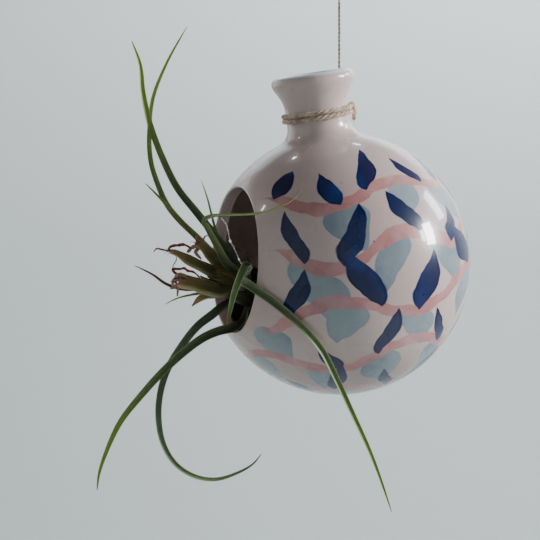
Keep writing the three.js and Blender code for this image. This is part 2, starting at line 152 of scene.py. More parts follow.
class Paint:
    """A material whose nodes are written as expressions."""

    def __init__(self, name):
        self.material = bpy.data.materials.new(name)
        self.material.use_nodes = True
        self.tree = self.material.node_tree
        self.shader = next(n for n in self.tree.nodes if n.type == "BSDF_PRINCIPLED")

    def feed(self, socket, value):
        if isinstance(value, Value):
            self.tree.links.new(value.socket, socket)
        else:
            socket.default_value = value

    def add(self, kind, settings, sockets, output=0):
        node = self.tree.nodes.new(kind)
        for name, setting in settings.items():
            setattr(node, name, setting)
        for name, value in sockets.items():
            self.feed(node.inputs[name], value)
        return Value(self, node.outputs[output])

    def dress(self, **sockets):
        for name, value in sockets.items():
            self.feed(self.shader.inputs[name.replace("_", " ")], value)

    def place(self):
        return self.add("ShaderNodeTexCoord", {}, {}, "Object")

    def attribute(self, name):
        return self.add("ShaderNodeAttribute", {"attribute_name": name}, {}, "Fac")

    def noise(self, where, scale, detail=2.0, output="Fac"):
        sockets = {"Vector": where, "Scale": scale, "Detail": detail}
        return self.add("ShaderNodeTexNoise", {}, sockets, output)

    def mix(self, share, first, second):
        return self.add("ShaderNodeMix", {"data_type": "RGBA"}, {0: share, 6: first, 7: second}, 2)

    def bump(self, height, strength, distance):
        sockets = {"Height": height, "Strength": strength, "Distance": distance}
        return self.add("ShaderNodeBump", {}, sockets)


def tone(red, green, blue):
    """A colour as seen on a screen, 0 to 255, made linear for the shader."""
    return (*[(part / 255) ** 2.2 for part in (red, green, blue)], 1.0)


print("paints are ready")

# %% [markdown]
# ## Fibres: routes, plies and fuzz
# Twine is a few plies that wind round each other, with loose fibres standing off. A rope
# texture on a smooth tube would look flat at its outline. Here each ply is a real tube on a
# twisted route, made by a curve with a round bevel and turned into a mesh.

# %% Smooth routes
FINE_STEPS = 12


def smooth_route(points, count):
    """Evenly spaced points on a smooth curve through the given ones."""
    ends = [2 * points[0] - points[1], *points, 2 * points[-1] - points[-2]]
    fine = [points[0]]
    for corners in zip(ends, ends[1:], ends[2:], ends[3:]):
        knots = [0.0]
        for a, b in zip(corners, corners[1:]):
            knots.append(knots[-1] + math.sqrt((b - a).length))
        for step in range(1, FINE_STEPS + 1):
            t = knots[1] + (knots[2] - knots[1]) * step / FINE_STEPS
            row = corners
            for width in (1, 2):
                shares = [(t - a) / (b - a) for a, b in zip(knots, knots[width:])]
                row = [a.lerp(b, share) for a, b, share in zip(row, row[1:], shares)]
            fine.append(row[0].lerp(row[1], step / FINE_STEPS))
    return even_route(fine, count)


def even_route(fine, count):
    """Points at equal distances along a chain of points."""
    spans = [(b - a).length for a, b in zip(fine, fine[1:])]
    route, walked, span = [fine[0].copy()], 0.0, 0
    for step in range(1, count):
        goal = sum(spans) * step / (count - 1)
        while span < len(spans) - 1 and walked + spans[span] < goal:
            walked += spans[span]
            span += 1
        route.append(fine[span].lerp(fine[span + 1], (goal - walked) / spans[span]))
    return route


def route_length(route):
    return sum((b - a).length for a, b in zip(route, route[1:]))


def frame_at(route, i, face):
    """A point of a route with its sideways direction and its face, square to the travel."""
    travel = (route[min(i + 1, len(route) - 1)] - route[max(i - 1, 0)]).normalized()
    face = (face - travel * face.dot(travel)).normalized()
    return route[i], travel.cross(face), face


def carried_frames(route, face):
    """The frames of a route, with one face carried from each point to the next."""
    frames = []
    for i in range(len(route)):
        frames.append(frame_at(route, i, face))
        face = frames[-1][2]
    return frames


def face_at(faces, t):
    """The direction between two of the faces that are given along a route."""
    for (before, first), (after, second) in zip(faces, faces[1:]):
        if t <= after:
            return first.lerp(second, (t - before) / (after - before))
    return faces[-1][1]


def turned_frames(route, faces):
    """The frames of a route, turned through the faces that are given along it."""
    last = len(route) - 1
    return [frame_at(route, i, face_at(faces, i / last)) for i in range(len(route))]


print("routes are ready")

# %% Plies and fuzz
HAIR_RADIUS = 0.03 * MM
HAIR_ROUNDNESS = 0
PLY_ROUNDNESS = 2
PLY_FACE = Vector((0.3, 0.2, 0.93))
draw = random.Random(41)


def twisted_plies(route, plies, offset, radius, lay):
    """Routes of equal plies that wind round a middle route once in each lay length."""
    frames = carried_frames(route, PLY_FACE)
    step = route_length(route) / (len(route) - 1)
    strands = []
    for ply in range(plies):
        points = []
        for i, (place, across, face) in enumerate(frames):
            turn = math.tau * (ply / plies + i * step / lay)
            points.append(place + (across * math.cos(turn) + face * math.sin(turn)) * offset)
        strands.append((points, [radius] * len(points)))
    return strands


def fuzz(route, radius, count, reach):
    """Short loose fibres that leave a twine's surface and trail along it."""
    frames = carried_frames(route, PLY_FACE)
    hairs = []
    for _ in range(count):
        place, across, face = draw.choice(frames)
        turn = draw.uniform(0, math.tau)
        out = across * math.cos(turn) + face * math.sin(turn)
        trail = face.cross(across) * draw.choice((-1, 1))
        half = reach * draw.uniform(0.4, 1) * 0.5
        start = place + out * radius * 0.8
        middle = start + (out * draw.uniform(0.2, 0.6) + trail) * half
        end = middle + (out * draw.uniform(-0.3, 0.6) + trail * draw.uniform(0.3, 1)) * half
        thin = HAIR_RADIUS * draw.uniform(0.7, 1.3)
        hairs.append((smooth_route([start, middle, end], 5), [thin] * 4 + [thin * 0.4]))
    return hairs


def tubes(name, strands, roundness):
    """One mesh of capped tubes, each with its own radius along its route."""
    curve = bpy.data.curves.new(name, "CURVE")
    curve.dimensions = "3D"
    curve.bevel_depth = 1
    curve.bevel_resolution = roundness
    curve.use_fill_caps = True
    for route, radii in strands:
        spline = curve.splines.new("POLY")
        spline.points.add(len(route) - 1)
        for point, place, radius in zip(spline.points, route, radii):
            point.co = (*place, 1)
            point.radius = radius
    holder = bpy.data.objects.new(name, curve)
    mesh = bpy.data.meshes.new_from_object(holder)
    bpy.data.objects.remove(holder)
    bpy.data.curves.remove(curve)
    return mesh


def finished(bm, name):
    """A mesh from a bmesh that is done with."""
    mesh = bpy.data.meshes.new(name)
    bm.to_mesh(mesh)
    bm.free()
    return mesh


WELD = 0.0002 * MM


def joined(name, *meshes):
    """One mesh from several, with the tubes' caps welded on and the faces turned outwards."""
    bm = bmesh.new()
    for mesh in meshes:
        bm.from_mesh(mesh)
        bpy.data.meshes.remove(mesh)
    bmesh.ops.remove_doubles(bm, verts=bm.verts, dist=WELD)
    bmesh.ops.recalc_face_normals(bm, faces=bm.faces)
    return finished(bm, name)


def show(mesh, body, slot, paint, *nodes):
    """Puts a finished mesh in the scene, on its body and in place of CAD nodes."""
    mesh.shade_smooth()
    mesh.materials.clear()
    mesh.materials.append(paint.material)
    piece = bpy.data.objects.new(mesh.name, mesh)
    bpy.context.scene.collection.objects.link(piece)
    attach(piece, body)
    if nodes:
        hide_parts(*nodes)
    mesh.calc_loop_triangles()
    print(piece.name, len(mesh.loop_triangles), "triangles on", body)
    return piece


print("twine tools are ready")

# %% [markdown]
# ## Fibre finishes
# Jute is straw coloured and dull, with darker and paler fibres side by side. A few noises at
# the width of a fibre give that, and a soft sheen stands for the fuzz that is too fine to
# model. The hanging cord is the same kind of fibre, thinner and greyer.

# %% Fibre paints
BLOTCH_SCALE = 260
FIBRE_SCALE = 1700
FIBRE_DEPTH = 0.15 * MM


def fibre_paint(name, *colours):
    """A dull fibre from a dark, a middle and a pale colour."""
    dark, middle, pale = [tone(*colour) for colour in colours]
    paint = Paint(name)
    place = paint.place()
    blotch = paint.noise(place, BLOTCH_SCALE, 3)
    streak = paint.noise(place, FIBRE_SCALE, 4)
    colour = paint.mix(blotch.rise(0.35, 0.65), dark, middle)
    colour = paint.mix(streak.rise(0.5, 0.72) * 0.75, colour, pale)
    colour = paint.mix(streak.rise(0.44, 0.3) * 0.6, colour, dark)
    paint.dress(Base_Color=colour, Roughness=streak * 0.2 + 0.75)
    paint.dress(Sheen_Weight=0.35, Specular_IOR_Level=0.25)
    paint.dress(Normal=paint.bump(streak, 0.6, FIBRE_DEPTH))
    return paint


jute_paint = fibre_paint("jute_fibre", (172, 138, 114), (222, 194, 170), (248, 234, 214))
cord_paint = fibre_paint("cord_fibre", (140, 126, 106), (184, 169, 145), (220, 207, 182))
print("fibres:", jute_paint.material.name, "and", cord_paint.material.name)

# %% [markdown]
# ## Hanging cord, loop knot and loop
# The planter hangs from a thin cord that is tied into a loop above the picture. It is drawn
# taut by the pot's weight, so its route is a straight line down to the tie knot. Two plies
# show its twist. The knot is a trefoil, the simplest closed knot, pulled tight.

# %% Hanging cord
CORD_DIAMETER = 1 * MM
CORD_TOP = -25.9 * MM
CORD_BOTTOM = -70.9 * MM
CORD_LAY = 3.2 * MM
CORD_PLY_OFFSET = 0.23 * MM
CORD_PLY_RADIUS = 0.28 * MM
CORD_STEPS = 160


def cord_plies(route):
    """The two plies of the cord along a route."""
    return twisted_plies(route, 2, CORD_PLY_OFFSET, CORD_PLY_RADIUS, CORD_LAY)


cord_route = even_route([Vector((0, 0, CORD_BOTTOM)), Vector((0, 0, CORD_TOP))], CORD_STEPS)
cord_fuzz = fuzz(cord_route, CORD_DIAMETER / 2, count=40, reach=1.4 * MM)
cord_mesh = joined(
    "twisted_cord_45",
    tubes("twisted_cord", cord_plies(cord_route), PLY_ROUNDNESS),
    tubes("cord_hairs", cord_fuzz, HAIR_ROUNDNESS),
)
hanging_cord = show(cord_mesh, "cord", "hanging_cord", cord_paint, "hanging_cord")

# %% Loop knot
LOOP_KNOT_HEIGHT = -24 * MM
TREFOIL_SIZE = 0.5 * MM
KNOT_STEPS = 150


def trefoil(turn):
    """A point of the knot's middle line."""
    across = math.sin(turn) + 2 * math.sin(2 * turn)
    rise = math.cos(turn) - 2 * math.cos(2 * turn)
    return Vector((across, -math.sin(3 * turn), rise)) * TREFOIL_SIZE + UPRIGHT * LOOP_KNOT_HEIGHT


knot_route = [trefoil(math.tau * i / KNOT_STEPS) for i in range(KNOT_STEPS + 1)]
knot_plies = tubes("knot_plies", cord_plies(knot_route), PLY_ROUNDNESS)
knot_mesh = joined("tied_loop_knot", knot_plies)
loop_knot = show(knot_mesh, "knot", "hanging_cord", cord_paint, "loop_knot")

# %% Loop
LOOP_HEIGHT = 24 * MM
LOOP_WIDTH = 10 * MM
LOOP_FOOT = 1.9 * MM
LOOP_SIDE = 0.8 * MM
LOOP_STEPS = 200
loop_leg = [
    Vector((LOOP_SIDE, 0, LOOP_KNOT_HEIGHT + LOOP_FOOT)),
    Vector((1.7 * LOOP_SIDE, 0, LOOP_KNOT_HEIGHT + 2.2 * LOOP_FOOT)),
    Vector((0.3 * LOOP_WIDTH, 0, -0.58 * LOOP_HEIGHT)),
    Vector((0.47 * LOOP_WIDTH, 0, -0.33 * LOOP_HEIGHT)),
    Vector((0.4 * LOOP_WIDTH, 0, -0.11 * LOOP_HEIGHT)),
]
loop_top = Vector((0, 0, CORD_DIAMETER / 2))
loop_back = [Vector((-point.x, 0, point.z)) for point in reversed(loop_leg)]
loop_route = smooth_route([*loop_leg, loop_top, *loop_back], LOOP_STEPS)
loop_mesh = joined("tied_loop", tubes("loop_plies", cord_plies(loop_route), PLY_ROUNDNESS))
hanging_loop = show(loop_mesh, "hanger", "hanging_cord", cord_paint, "hanging_loop")

# %% Cord lengths
tuple(cord_route[0])
round(route_length(cord_route), 4)
[tuple(point) for point in cord_route]
tuple(loop_route[0])
round(route_length(loop_route), 4)
[tuple(point) for point in loop_route]
for cord_name, route in (("cord", cord_route), ("loop", loop_route)):
    print(f"{cord_name}: {route_length(route):.4f} m")

# %% [markdown]
# ## The pot's wall
# A potter turns this wall on a wheel. In Blender the same is done with spin: half of the
# wall's section is drawn once, as a chain of extruded and spun vertices, and a full spin round
# the axis makes the pot. A boolean of two spheres would leave a rough rim and no lip.

# %% Draw the section
WALL = 4 * MM
NECK_RADIUS = 11.8 * MM
SHOULDER_FILLET = 7 * MM
NECK_LENGTH = 18.4 * MM
RIM_RADIUS = 15.5 * MM
LIP_ROUND = 2.6 * MM
FLARE_START = 0.55
FLARE_END = 0.75
FLARE_POINTS = 20
GLOBE_STEPS = 72
FILLET_STEPS = 10
INNER_FILLET_STEPS = 12
LIP_STEPS = 18
BINDING_RISE = 3 * MM
STRAND_PITCH = 2.1 * MM

fillet_out = NECK_RADIUS + SHOULDER_FILLET
neck_bottom = math.sqrt((GLOBE_RADIUS + SHOULDER_FILLET) ** 2 - fillet_out**2)
binding_height = neck_bottom + BINDING_RISE
rim_top = neck_bottom + NECK_LENGTH
lip_height = rim_top - LIP_ROUND
flare_bottom = binding_height + STRAND_PITCH
NEAR = Vector((0, -1, 0))


class Outline:
    """A chain of edges drawn in the plane of x and z from its last vertex on."""

    def __init__(self, bm, x, z):
        self.bm = bm
        self.tip = bm.verts.new((x, 0, z))

    def line(self, x, z):
        step = Vector((x, 0, z)) - self.tip.co
        made = bmesh.ops.extrude_vert_indiv(self.bm, verts=[self.tip])
        self.tip = made["verts"][0]
        bmesh.ops.translate(self.bm, verts=[self.tip], vec=step)

    def arc(self, x, z, angle, steps):
        made = bmesh.ops.spin(
            self.bm, geom=[self.tip], cent=(x, 0, z), axis=NEAR, angle=angle, steps=steps
        )
        self.tip = next(g for g in made["geom_last"] if isinstance(g, bmesh.types.BMVert))

    def flare(self, points):
        for point in points[1:]:
            self.line(point.x, point.z)


def flare_points(low_radius, high_radius):
    """The neck's curve from its straight foot out to the lip."""
    rise = lip_height - flare_bottom
    return interpolate_bezier(
        Vector((low_radius, 0, flare_bottom)),
        Vector((low_radius, 0, flare_bottom + FLARE_START * rise)),
        Vector((high_radius, 0, flare_bottom + FLARE_END * rise)),
        Vector((high_radius, 0, lip_height)),
        FLARE_POINTS,
    )


shoulder = math.atan2(neck_bottom, fillet_out)
foot_angle = -math.acos(FOOT_RADIUS / GLOBE_RADIUS)
lip_middle = RIM_RADIUS - LIP_ROUND
pot = bmesh.new()
section = Outline(pot, 0, -foot_drop)
section.line(FOOT_RADIUS, -foot_drop)
section.arc(0, 0, shoulder - foot_angle, GLOBE_STEPS)
section.arc(fillet_out, neck_bottom, -shoulder, FILLET_STEPS)
section.line(NECK_RADIUS, flare_bottom)
section.flare(flare_points(NECK_RADIUS, RIM_RADIUS))
section.arc(lip_middle, lip_height, math.pi, LIP_STEPS)
section.flare(flare_points(NECK_RADIUS - WALL, lip_middle - LIP_ROUND)[::-1])
section.line(NECK_RADIUS - WALL, neck_bottom)
section.arc(fillet_out, neck_bottom, shoulder, INNER_FILLET_STEPS)
section.arc(0, 0, -shoulder - math.pi / 2, GLOBE_STEPS)
print("section:", len(pot.verts), "points, last at", section.tip.co)

# %% Spin the section
POT_STEPS = 180
POLE_MERGE = 0.001 * MM


def spun(bm, axis, steps):
    """Makes a surface from a drawn outline by a full spin."""
    bmesh.ops.spin(
        bm, geom=bm.verts[:] + bm.edges[:], cent=(0, 0, 0), axis=axis,
        angle=math.tau, steps=steps, use_merge=True,
    )


spun(pot, UPRIGHT, POT_STEPS)
bmesh.ops.remove_doubles(pot, verts=pot.verts, dist=POLE_MERGE)
bmesh.ops.recalc_face_normals(pot, faces=pot.faces)
print("wall:", len(pot.faces), "faces")

# %% [markdown]
# ## The mouth
# The round mouth was cut from the soft clay, and its edges were wiped round with a wet
# finger. Two flat cuts open the outer and the inner skin, a spun ring makes the cut wall with
# its two rounded edges, and bridge_loops sews the ring to both skins.

# %% Cut the two skins
OUTER_ROUND = 0.6 * MM
INNER_ROUND = 0.8 * MM
SEAM = 0.6 * MM
mouth_axis = mouth_turn @ Vector((1, 0, 0))
middle_of_wall = GLOBE_RADIUS - WALL / 2


def round_middle(skin_radius, edge_round):
    """Where a rounded edge's middle lies: along the mouth's axis, and out from it."""
    out = MOUTH_RADIUS + edge_round
    return math.sqrt(skin_radius**2 - out**2), out


outer_along, outer_out = round_middle(GLOBE_RADIUS - OUTER_ROUND, OUTER_ROUND)
inner_along, inner_out = round_middle(GLOBE_RADIUS - WALL + INNER_ROUND, INNER_ROUND)
outer_open = math.atan2(outer_out, outer_along)
inner_open = math.atan2(inner_out, inner_along)


def cut_skin(outer, radius, opening):
    """Cuts the outer or the inner skin open with one plane across the mouth."""
    faces = [f for f in pot.faces if (f.calc_center_median().length > middle_of_wall) == outer]
    edges = dict.fromkeys(edge for face in faces for edge in face.edges)
    verts = dict.fromkeys(vert for face in faces for vert in face.verts)
    cut = mouth_axis * radius * math.cos(opening + SEAM / radius)
    bmesh.ops.bisect_plane(
        pot, geom=[*verts, *edges, *faces], plane_co=cut, plane_no=mouth_axis, clear_outer=True
    )


cut_skin(True, GLOBE_RADIUS, outer_open)
cut_skin(False, GLOBE_RADIUS - WALL, inner_open)
skin_edges = [edge for edge in pot.edges if edge.is_boundary]
outer_edges = [edge for edge in skin_edges if edge.verts[0].co.length > middle_of_wall]
inner_edges = [edge for edge in skin_edges if edge.verts[0].co.length <= middle_of_wall]
print("open edges:", len(outer_edges), "outside and", len(inner_edges), "inside")

# %% Sew in the rounded wall
RING_STEPS = 160
OUTER_ROUND_STEPS = 7
INNER_ROUND_STEPS = 6
ring = bmesh.new()
wall_start = (GLOBE_RADIUS * math.cos(outer_open), GLOBE_RADIUS * math.sin(outer_open))
edge_of_wall = Outline(ring, *wall_start)
edge_of_wall.arc(outer_along, outer_out, -math.pi / 2 - outer_open, OUTER_ROUND_STEPS)
edge_of_wall.line(inner_along, MOUTH_RADIUS)
edge_of_wall.arc(inner_along, inner_out, inner_open - math.pi / 2, INNER_ROUND_STEPS)
spun(ring, (1, 0, 0), RING_STEPS)
bmesh.ops.transform(ring, matrix=mouth_turn, verts=ring.verts)
ring_mesh = finished(ring, "mouth_ring")
pot.from_mesh(ring_mesh)
bpy.data.meshes.remove(ring_mesh)
sewn = set(skin_edges)
ring_edges = [edge for edge in pot.edges if edge.is_boundary and edge not in sewn]
ring_outer = [edge for edge in ring_edges if edge.verts[0].co.length > middle_of_wall]
ring_inner = [edge for edge in ring_edges if edge.verts[0].co.length <= middle_of_wall]
bmesh.ops.bridge_loops(pot, edges=outer_edges + ring_outer)
bmesh.ops.bridge_loops(pot, edges=inner_edges + ring_inner)
print("open edges left:", sum(edge.is_boundary for edge in pot.edges))

# %% [markdown]
# ## Uneven wall and the inside
# No hand-formed wall is even. The hollow lies 0.8 mm off the middle, as in the frame, where
# that small weight makes the pot hang with its photographed lean. A vertex attribute marks the
# unglazed inside, so that the finish can tell it from the outside later.

# %% Shift the hollow
CAVITY_DRIFT = 0.8 * MM
DRIFT_AZIMUTH = math.radians(354)
SKIN_DEPTH = 0.2 * WALL
HOLLOW_DEPTH = 0.8 * WALL
BORE_SLACK = 0.2 * MM
bore_radius = lip_middle - LIP_ROUND + BORE_SLACK
drift = Vector((math.cos(DRIFT_AZIMUTH), math.sin(DRIFT_AZIMUTH), 0)) * CAVITY_DRIFT
inside = pot.verts.layers.float.new("inside")


def smooth_share(value, low, high):
    """Goes smoothly from 0 at low to 1 at high."""
    share = min(max((value - low) / (high - low), 0), 1)
    return share * share * (3 - 2 * share)


for vert in pot.verts:
    depth = smooth_share(GLOBE_RADIUS - vert.co.length, SKIN_DEPTH, HOLLOW_DEPTH)
    in_bore = vert.co.xy.length < bore_radius and vert.co.z > neck_bottom
    vert[inside] = smooth_share(vert.co.z, rim_top, lip_height - LIP_ROUND) if in_bore else depth
    vert.co += drift * depth * (1 - smooth_share(vert.co.z, 0, neck_bottom))
bmesh.ops.transform(pot, matrix=pot_place, verts=pot.verts)
bmesh.ops.recalc_face_normals(pot, faces=pot.faces)
pot_mesh = finished(pot, "glazed_globe")
print("pot:", len(pot_mesh.vertices), "vertices")

# %% [markdown]
# ## Glaze
# The glaze is a warm white with a faint pink cast, glossy and slightly uneven, with a few
# specks that burnt out in the kiln. A bluish white band on the lip is a painted highlight for
# the light that the lip catches. Low down it turns darker and warmer, partly thin glaze over
# the clay and partly painted shade, and the inside darkens towards its bottom with painted
# shade. The decoration is painted under it with a soft brush: garlands of pink vines with
# grey-blue and navy leaves. It is drawn in the pot's own longitude and latitude, which a
# Mapping node finds from Object coordinates.

# %% Glaze ground
PINK_WHITE = tone(217, 189, 182)
CLOUDED_PINK = tone(207, 177, 170)
THIN_GLAZE_AND_SHADE = tone(150, 114, 98)
SPECK = tone(70, 58, 52)
PAINTED_LIP_HIGHLIGHT = tone(252, 248, 254)
LIP_HIGHLIGHT_BAND = (rim_top - 1.3 * MM, rim_top - 0.3 * MM)
SHADE_AND_THIN_BAND = (-18 * MM, -48 * MM)
SHADE_AND_THIN_WAVER = 12 * MM
SHADE_AND_THIN_SHARE = 0.7
CLOUD_SCALE = 22
SPECK_SCALE = 420
SPECK_BAND = (0.865, 0.88)
glaze = Paint("painted_glaze")
pot_coords = glaze.add(
    "ShaderNodeMapping", {"vector_type": "TEXTURE"},
    {"Vector": glaze.place(), "Location": globe_centre, "Rotation": pot_turn.to_euler()},
)
cloud = glaze.noise(pot_coords, CLOUD_SCALE, 3)
ground = glaze.mix(cloud.rise(0.3, 0.7), PINK_WHITE, CLOUDED_PINK)
pot_height = glaze.add("ShaderNodeSeparateXYZ", {}, {0: pot_coords}, "Z")
# Darker and warmer low down: partly thin glaze over the clay, partly painted shade where less light
# reaches the bottom.
thin = (pot_height + (cloud - 0.5) * SHADE_AND_THIN_WAVER).rise(*SHADE_AND_THIN_BAND)
ground = glaze.mix(thin * SHADE_AND_THIN_SHARE, ground, THIN_GLAZE_AND_SHADE)
# Painted highlight: a bluish white band on the lip stands in for the light that the lip catches.
ground = glaze.mix(pot_height.rise(*LIP_HIGHLIGHT_BAND), ground, PAINTED_LIP_HIGHLIGHT)
speck = glaze.noise(pot_coords, SPECK_SCALE, 0)
ground = glaze.mix(speck.rise(*SPECK_BAND), ground, SPECK)
print("ground:", len(glaze.tree.nodes), "nodes")

# %% Hand-drawn longitude and latitude
WAVER = 4.2 * MM
WAVER_SCALE = 90


def joined_vectors(operation, first, second):
    """One Vector Math node of the glaze."""
    return glaze.add("ShaderNodeVectorMath", {"operation": operation}, {0: first, 1: second})


waver = glaze.noise(pot_coords, WAVER_SCALE, 2, "Color")
waver = joined_vectors("SUBTRACT", waver, (0.5, 0.5, 0.5))
waver = joined_vectors("MULTIPLY", waver, (WAVER,) * 3)
brushed = joined_vectors("ADD", pot_coords, waver)
direction = glaze.add("ShaderNodeVectorMath", {"operation": "NORMALIZE"}, {0: brushed})
axes = [glaze.add("ShaderNodeSeparateXYZ", {}, {0: direction}, axis) for axis in "XYZ"]
longitude = axes[1].math("ARCTAN2", axes[1], axes[0])
latitude = axes[2].math("ARCSINE", axes[2])
mouth_side = glaze.add(
    "ShaderNodeVectorMath", {"operation": "DOT_PRODUCT"}, {0: direction, 1: mouth_axis}, "Value"
)
print("the brush wavers by up to", WAVER / MM / 2, "mm")

# %% Brushed motifs
GLOBE_MM = GLOBE_RADIUS / MM
VINES = [(37, 4, 5, 0.4), (14, 5, 6, 1.9), (-9, 5, 5, 3.6), (-32, 5, 5, 0.9), (-57, 4, 4, 2.1)]
NEAREST_LEAF = 0.7
LEAF_FADE = 0.01
LEAF_STRAY = 4
SMALLEST_LEAF = 0.78
LEAF_GROWTH = 0.45
LEAF_FOOT = 1.3
LEAF_TAPER = 0.6
CELL_SHRINK = 0.92
STEM_HALF_WIDTH = 2.3
STEM_ENDS = (0.79, 0.66)


def vine_latitude(vine, around):
    """The latitude of a vine that waves round the pot: middle, sway, waves and start."""
    middle, sway, waves, start = vine
    turn = around * waves + start
    return turn.math("SINE", turn) * math.radians(sway) + math.radians(middle)


def stem(vine, half_width):
    """How far inside a vine's stem a point lies, in millimetres."""
    off = (latitude - vine_latitude(vine, longitude)).size() * GLOBE_MM
    return mouth_side.rise(*STEM_ENDS) * half_width - off


def clear_of_mouth(around, up):
    """1 where a whole leaf, by its middle's place, stays clear of the mouth."""
    level = up.math("COSINE", up) * math.cos(MOUTH_RISE)
    turn = around - MOUTH_AZIMUTH
    towards = level * turn.math("COSINE", turn) + up.math("SINE", up) * math.sin(MOUTH_RISE)
    return towards.rise(NEAREST_LEAF + LEAF_FADE, NEAREST_LEAF)


def leaves_on(vine, count, side, reach, width, height, lean, seed):
    """How far inside a brush leaf a point lies; leaves on one side of a vine lean by turns."""
    cell = longitude * (count / math.tau) + seed
    index = cell.math("FLOOR", cell)
    turn = index.math("FLOORED_MODULO", index, 2) * 2 - 1
    chance = glaze.add("ShaderNodeTexWhiteNoise", {"noise_dimensions": "1D"}, {"W": index + seed})
    up = (latitude - vine_latitude(vine, longitude)) * (GLOBE_MM * side) - reach
    up = up - (chance - 0.5) * LEAF_STRAY
    cell_width = math.tau * GLOBE_MM * CELL_SHRINK / count
    across = (cell - index - 0.5) * cell_width - up * turn * math.tan(lean)
    size = chance * LEAF_GROWTH + SMALLEST_LEAF
    share = up * (2 / height) / size
    fullness = LEAF_FOOT - share.most(-1).rise(-1, 1) * LEAF_TAPER
    body = (1 - share * share) * fullness * size * (width / 2)
    middle = (index + (0.5 - seed)) * (math.tau / count)
    whole = clear_of_mouth(middle, vine_latitude(vine, middle) + side * reach / GLOBE_MM)
    return body - across.size() - (1 - whole) * GLOBE_MM


def most_of(values):
    """The largest of several values."""
    first, *rest = values
    for value in rest:
        first = first.most(value)
    return first


broad_leaves = most_of([
    leaves_on(
        vine, count=12 - row // 2, side=-1, reach=8, width=15, height=20,
        lean=math.radians(20), seed=0.35 + 0.5 * row,
    )
    for row, vine in enumerate(VINES)
])
small_leaves = most_of([
    leaves_on(
        vine, count=14 - row // 2, side=1, reach=7.5, width=9, height=15,
        lean=math.radians(26), seed=0.1 + 0.7 * row,
    )
    for row, vine in enumerate(VINES)
])
stems = most_of([stem(vine, STEM_HALF_WIDTH) for vine in VINES])
print("motifs:", len(VINES), "vines, each with leaves on both sides")

# %% Lay the colours on the ground
PINK = tone(196, 124, 122)
PALE_PINK = tone(210, 148, 144)
GREY_BLUE = tone(140, 156, 164)
DEEP_GREY = tone(112, 130, 144)
NAVY = tone(10, 26, 72)
WASHED_NAVY = tone(30, 66, 132)
POOL_SCALE = 48
GRAIN_SCALE = 140
pool = glaze.noise(brushed, POOL_SCALE, 4)
grain = glaze.noise(brushed, GRAIN_SCALE, 3)
blue_wash = glaze.mix(pool.rise(0.35, 0.65), GREY_BLUE, DEEP_GREY)
pink_wash = glaze.mix(grain.rise(0.35, 0.7), PINK, PALE_PINK)
navy_wash = glaze.mix(pool.rise(0.5, 0.75), NAVY, WASHED_NAVY)


def laid(picture, depth, colour, cover):
    """Brushes a colour over the picture, denser along the rim where the wet paint pooled."""
    rim = depth.rise(1.4, 0) * 0.05
    return glaze.mix(depth.rise(-0.3, 0.3) * (rim + cover), picture, colour)


picture = laid(ground, broad_leaves, blue_wash, pool * 0.2 + 0.75)
picture = laid(picture, stems, pink_wash, pool * 0.2 + 0.75)
picture = laid(picture, small_leaves, navy_wash, pool * 0.05 + 0.95)
print("decoration:", len(glaze.tree.nodes), "nodes")

# %% Inside and gloss
INSIDE = tone(244, 222, 214)
INSIDE_SHADE = tone(230, 202, 192)
PAINTED_INSIDE_SHADOW = tone(40, 32, 28)
INSIDE_SHADOW_DEPTH = 10 * MM
CLAY_SCALE = 160
RIPPLE_SCALE = 34
FINE_RIPPLE_SCALE = 260
GLOSS_SCALE = 90
bare = glaze.attribute("inside").rise(0.8, 1)
clay = glaze.mix(glaze.noise(pot_coords, CLAY_SCALE, 4), INSIDE, INSIDE_SHADE)
# Painted shade: the inside darkens towards its bottom, where little light reaches through the mouth
# and neck.
low = (pot_height + (cloud - 0.5) * INSIDE_SHADOW_DEPTH).rise(0, -INSIDE_SHADOW_DEPTH)
clay = glaze.mix(low * 0.9, clay, PAINTED_INSIDE_SHADOW)
ripple = glaze.noise(pot_coords, RIPPLE_SCALE, 2) * 0.8
ripple = ripple + glaze.noise(pot_coords, FINE_RIPPLE_SCALE, 2) * 0.04
glaze.dress(
    Base_Color=glaze.mix(bare, picture, clay),
    Roughness=bare * 0.25 + glaze.noise(pot_coords, GLOSS_SCALE, 2) * 0.08 + 0.24,
    IOR=1.4,
    Coat_Weight=(1 - bare) * 0.5,
    Coat_Roughness=0.05,
    Coat_IOR=1.5,
    Normal=glaze.bump(ripple, 0.25, 1 * MM),
)
show(pot_mesh, "planter", "glazed_pot", glaze, "globe_pot")

# %% [markdown]
# ## Twine round the neck
# Two turns of jute twine hold the pot. They lie level across the front and cross over behind,
# where they are tied to the hanging cord. The route is worked out as in the frame: round the
# neck, then straight off it at both ends to the tie knot.

# %% Neck binding
TWINE_DIAMETER = 1.6 * MM
SEAT_GAP = 0.3 * MM
TIE_KNOT_RADIUS = 1.7 * MM
TIE_AZIMUTH = math.radians(53)
LEVEL_AZIMUTH = math.radians(270)
LEVEL_SHARE = 0.6
BINDING_TURNS = 2
BINDING_STEPS = 420
TOUCHING = 0.88
SNUG = 1.1
TWINE_PLY_OFFSET = 0.36 * MM
TWINE_PLY_RADIUS = 0.55 * MM
TWINE_LAY = 7.5 * MM
binding_radius = NECK_RADIUS + SEAT_GAP + TWINE_DIAMETER / 2
tie_radius = binding_radius + TWINE_DIAMETER / 2 + SEAT_GAP + TIE_KNOT_RADIUS
release = math.acos(binding_radius / tie_radius)
wrap = math.tau * BINDING_TURNS - 2 * release
straight = binding_radius * math.tan(release) - TIE_KNOT_RADIUS - SEAT_GAP


def climbed(turned):
    """How far the twine has climbed after a turn, most of it behind the neck."""
    levelled = turned - LEVEL_SHARE * math.sin(turned - (LEVEL_AZIMUTH - TIE_AZIMUTH - release))
    return STRAND_PITCH * levelled / math.tau


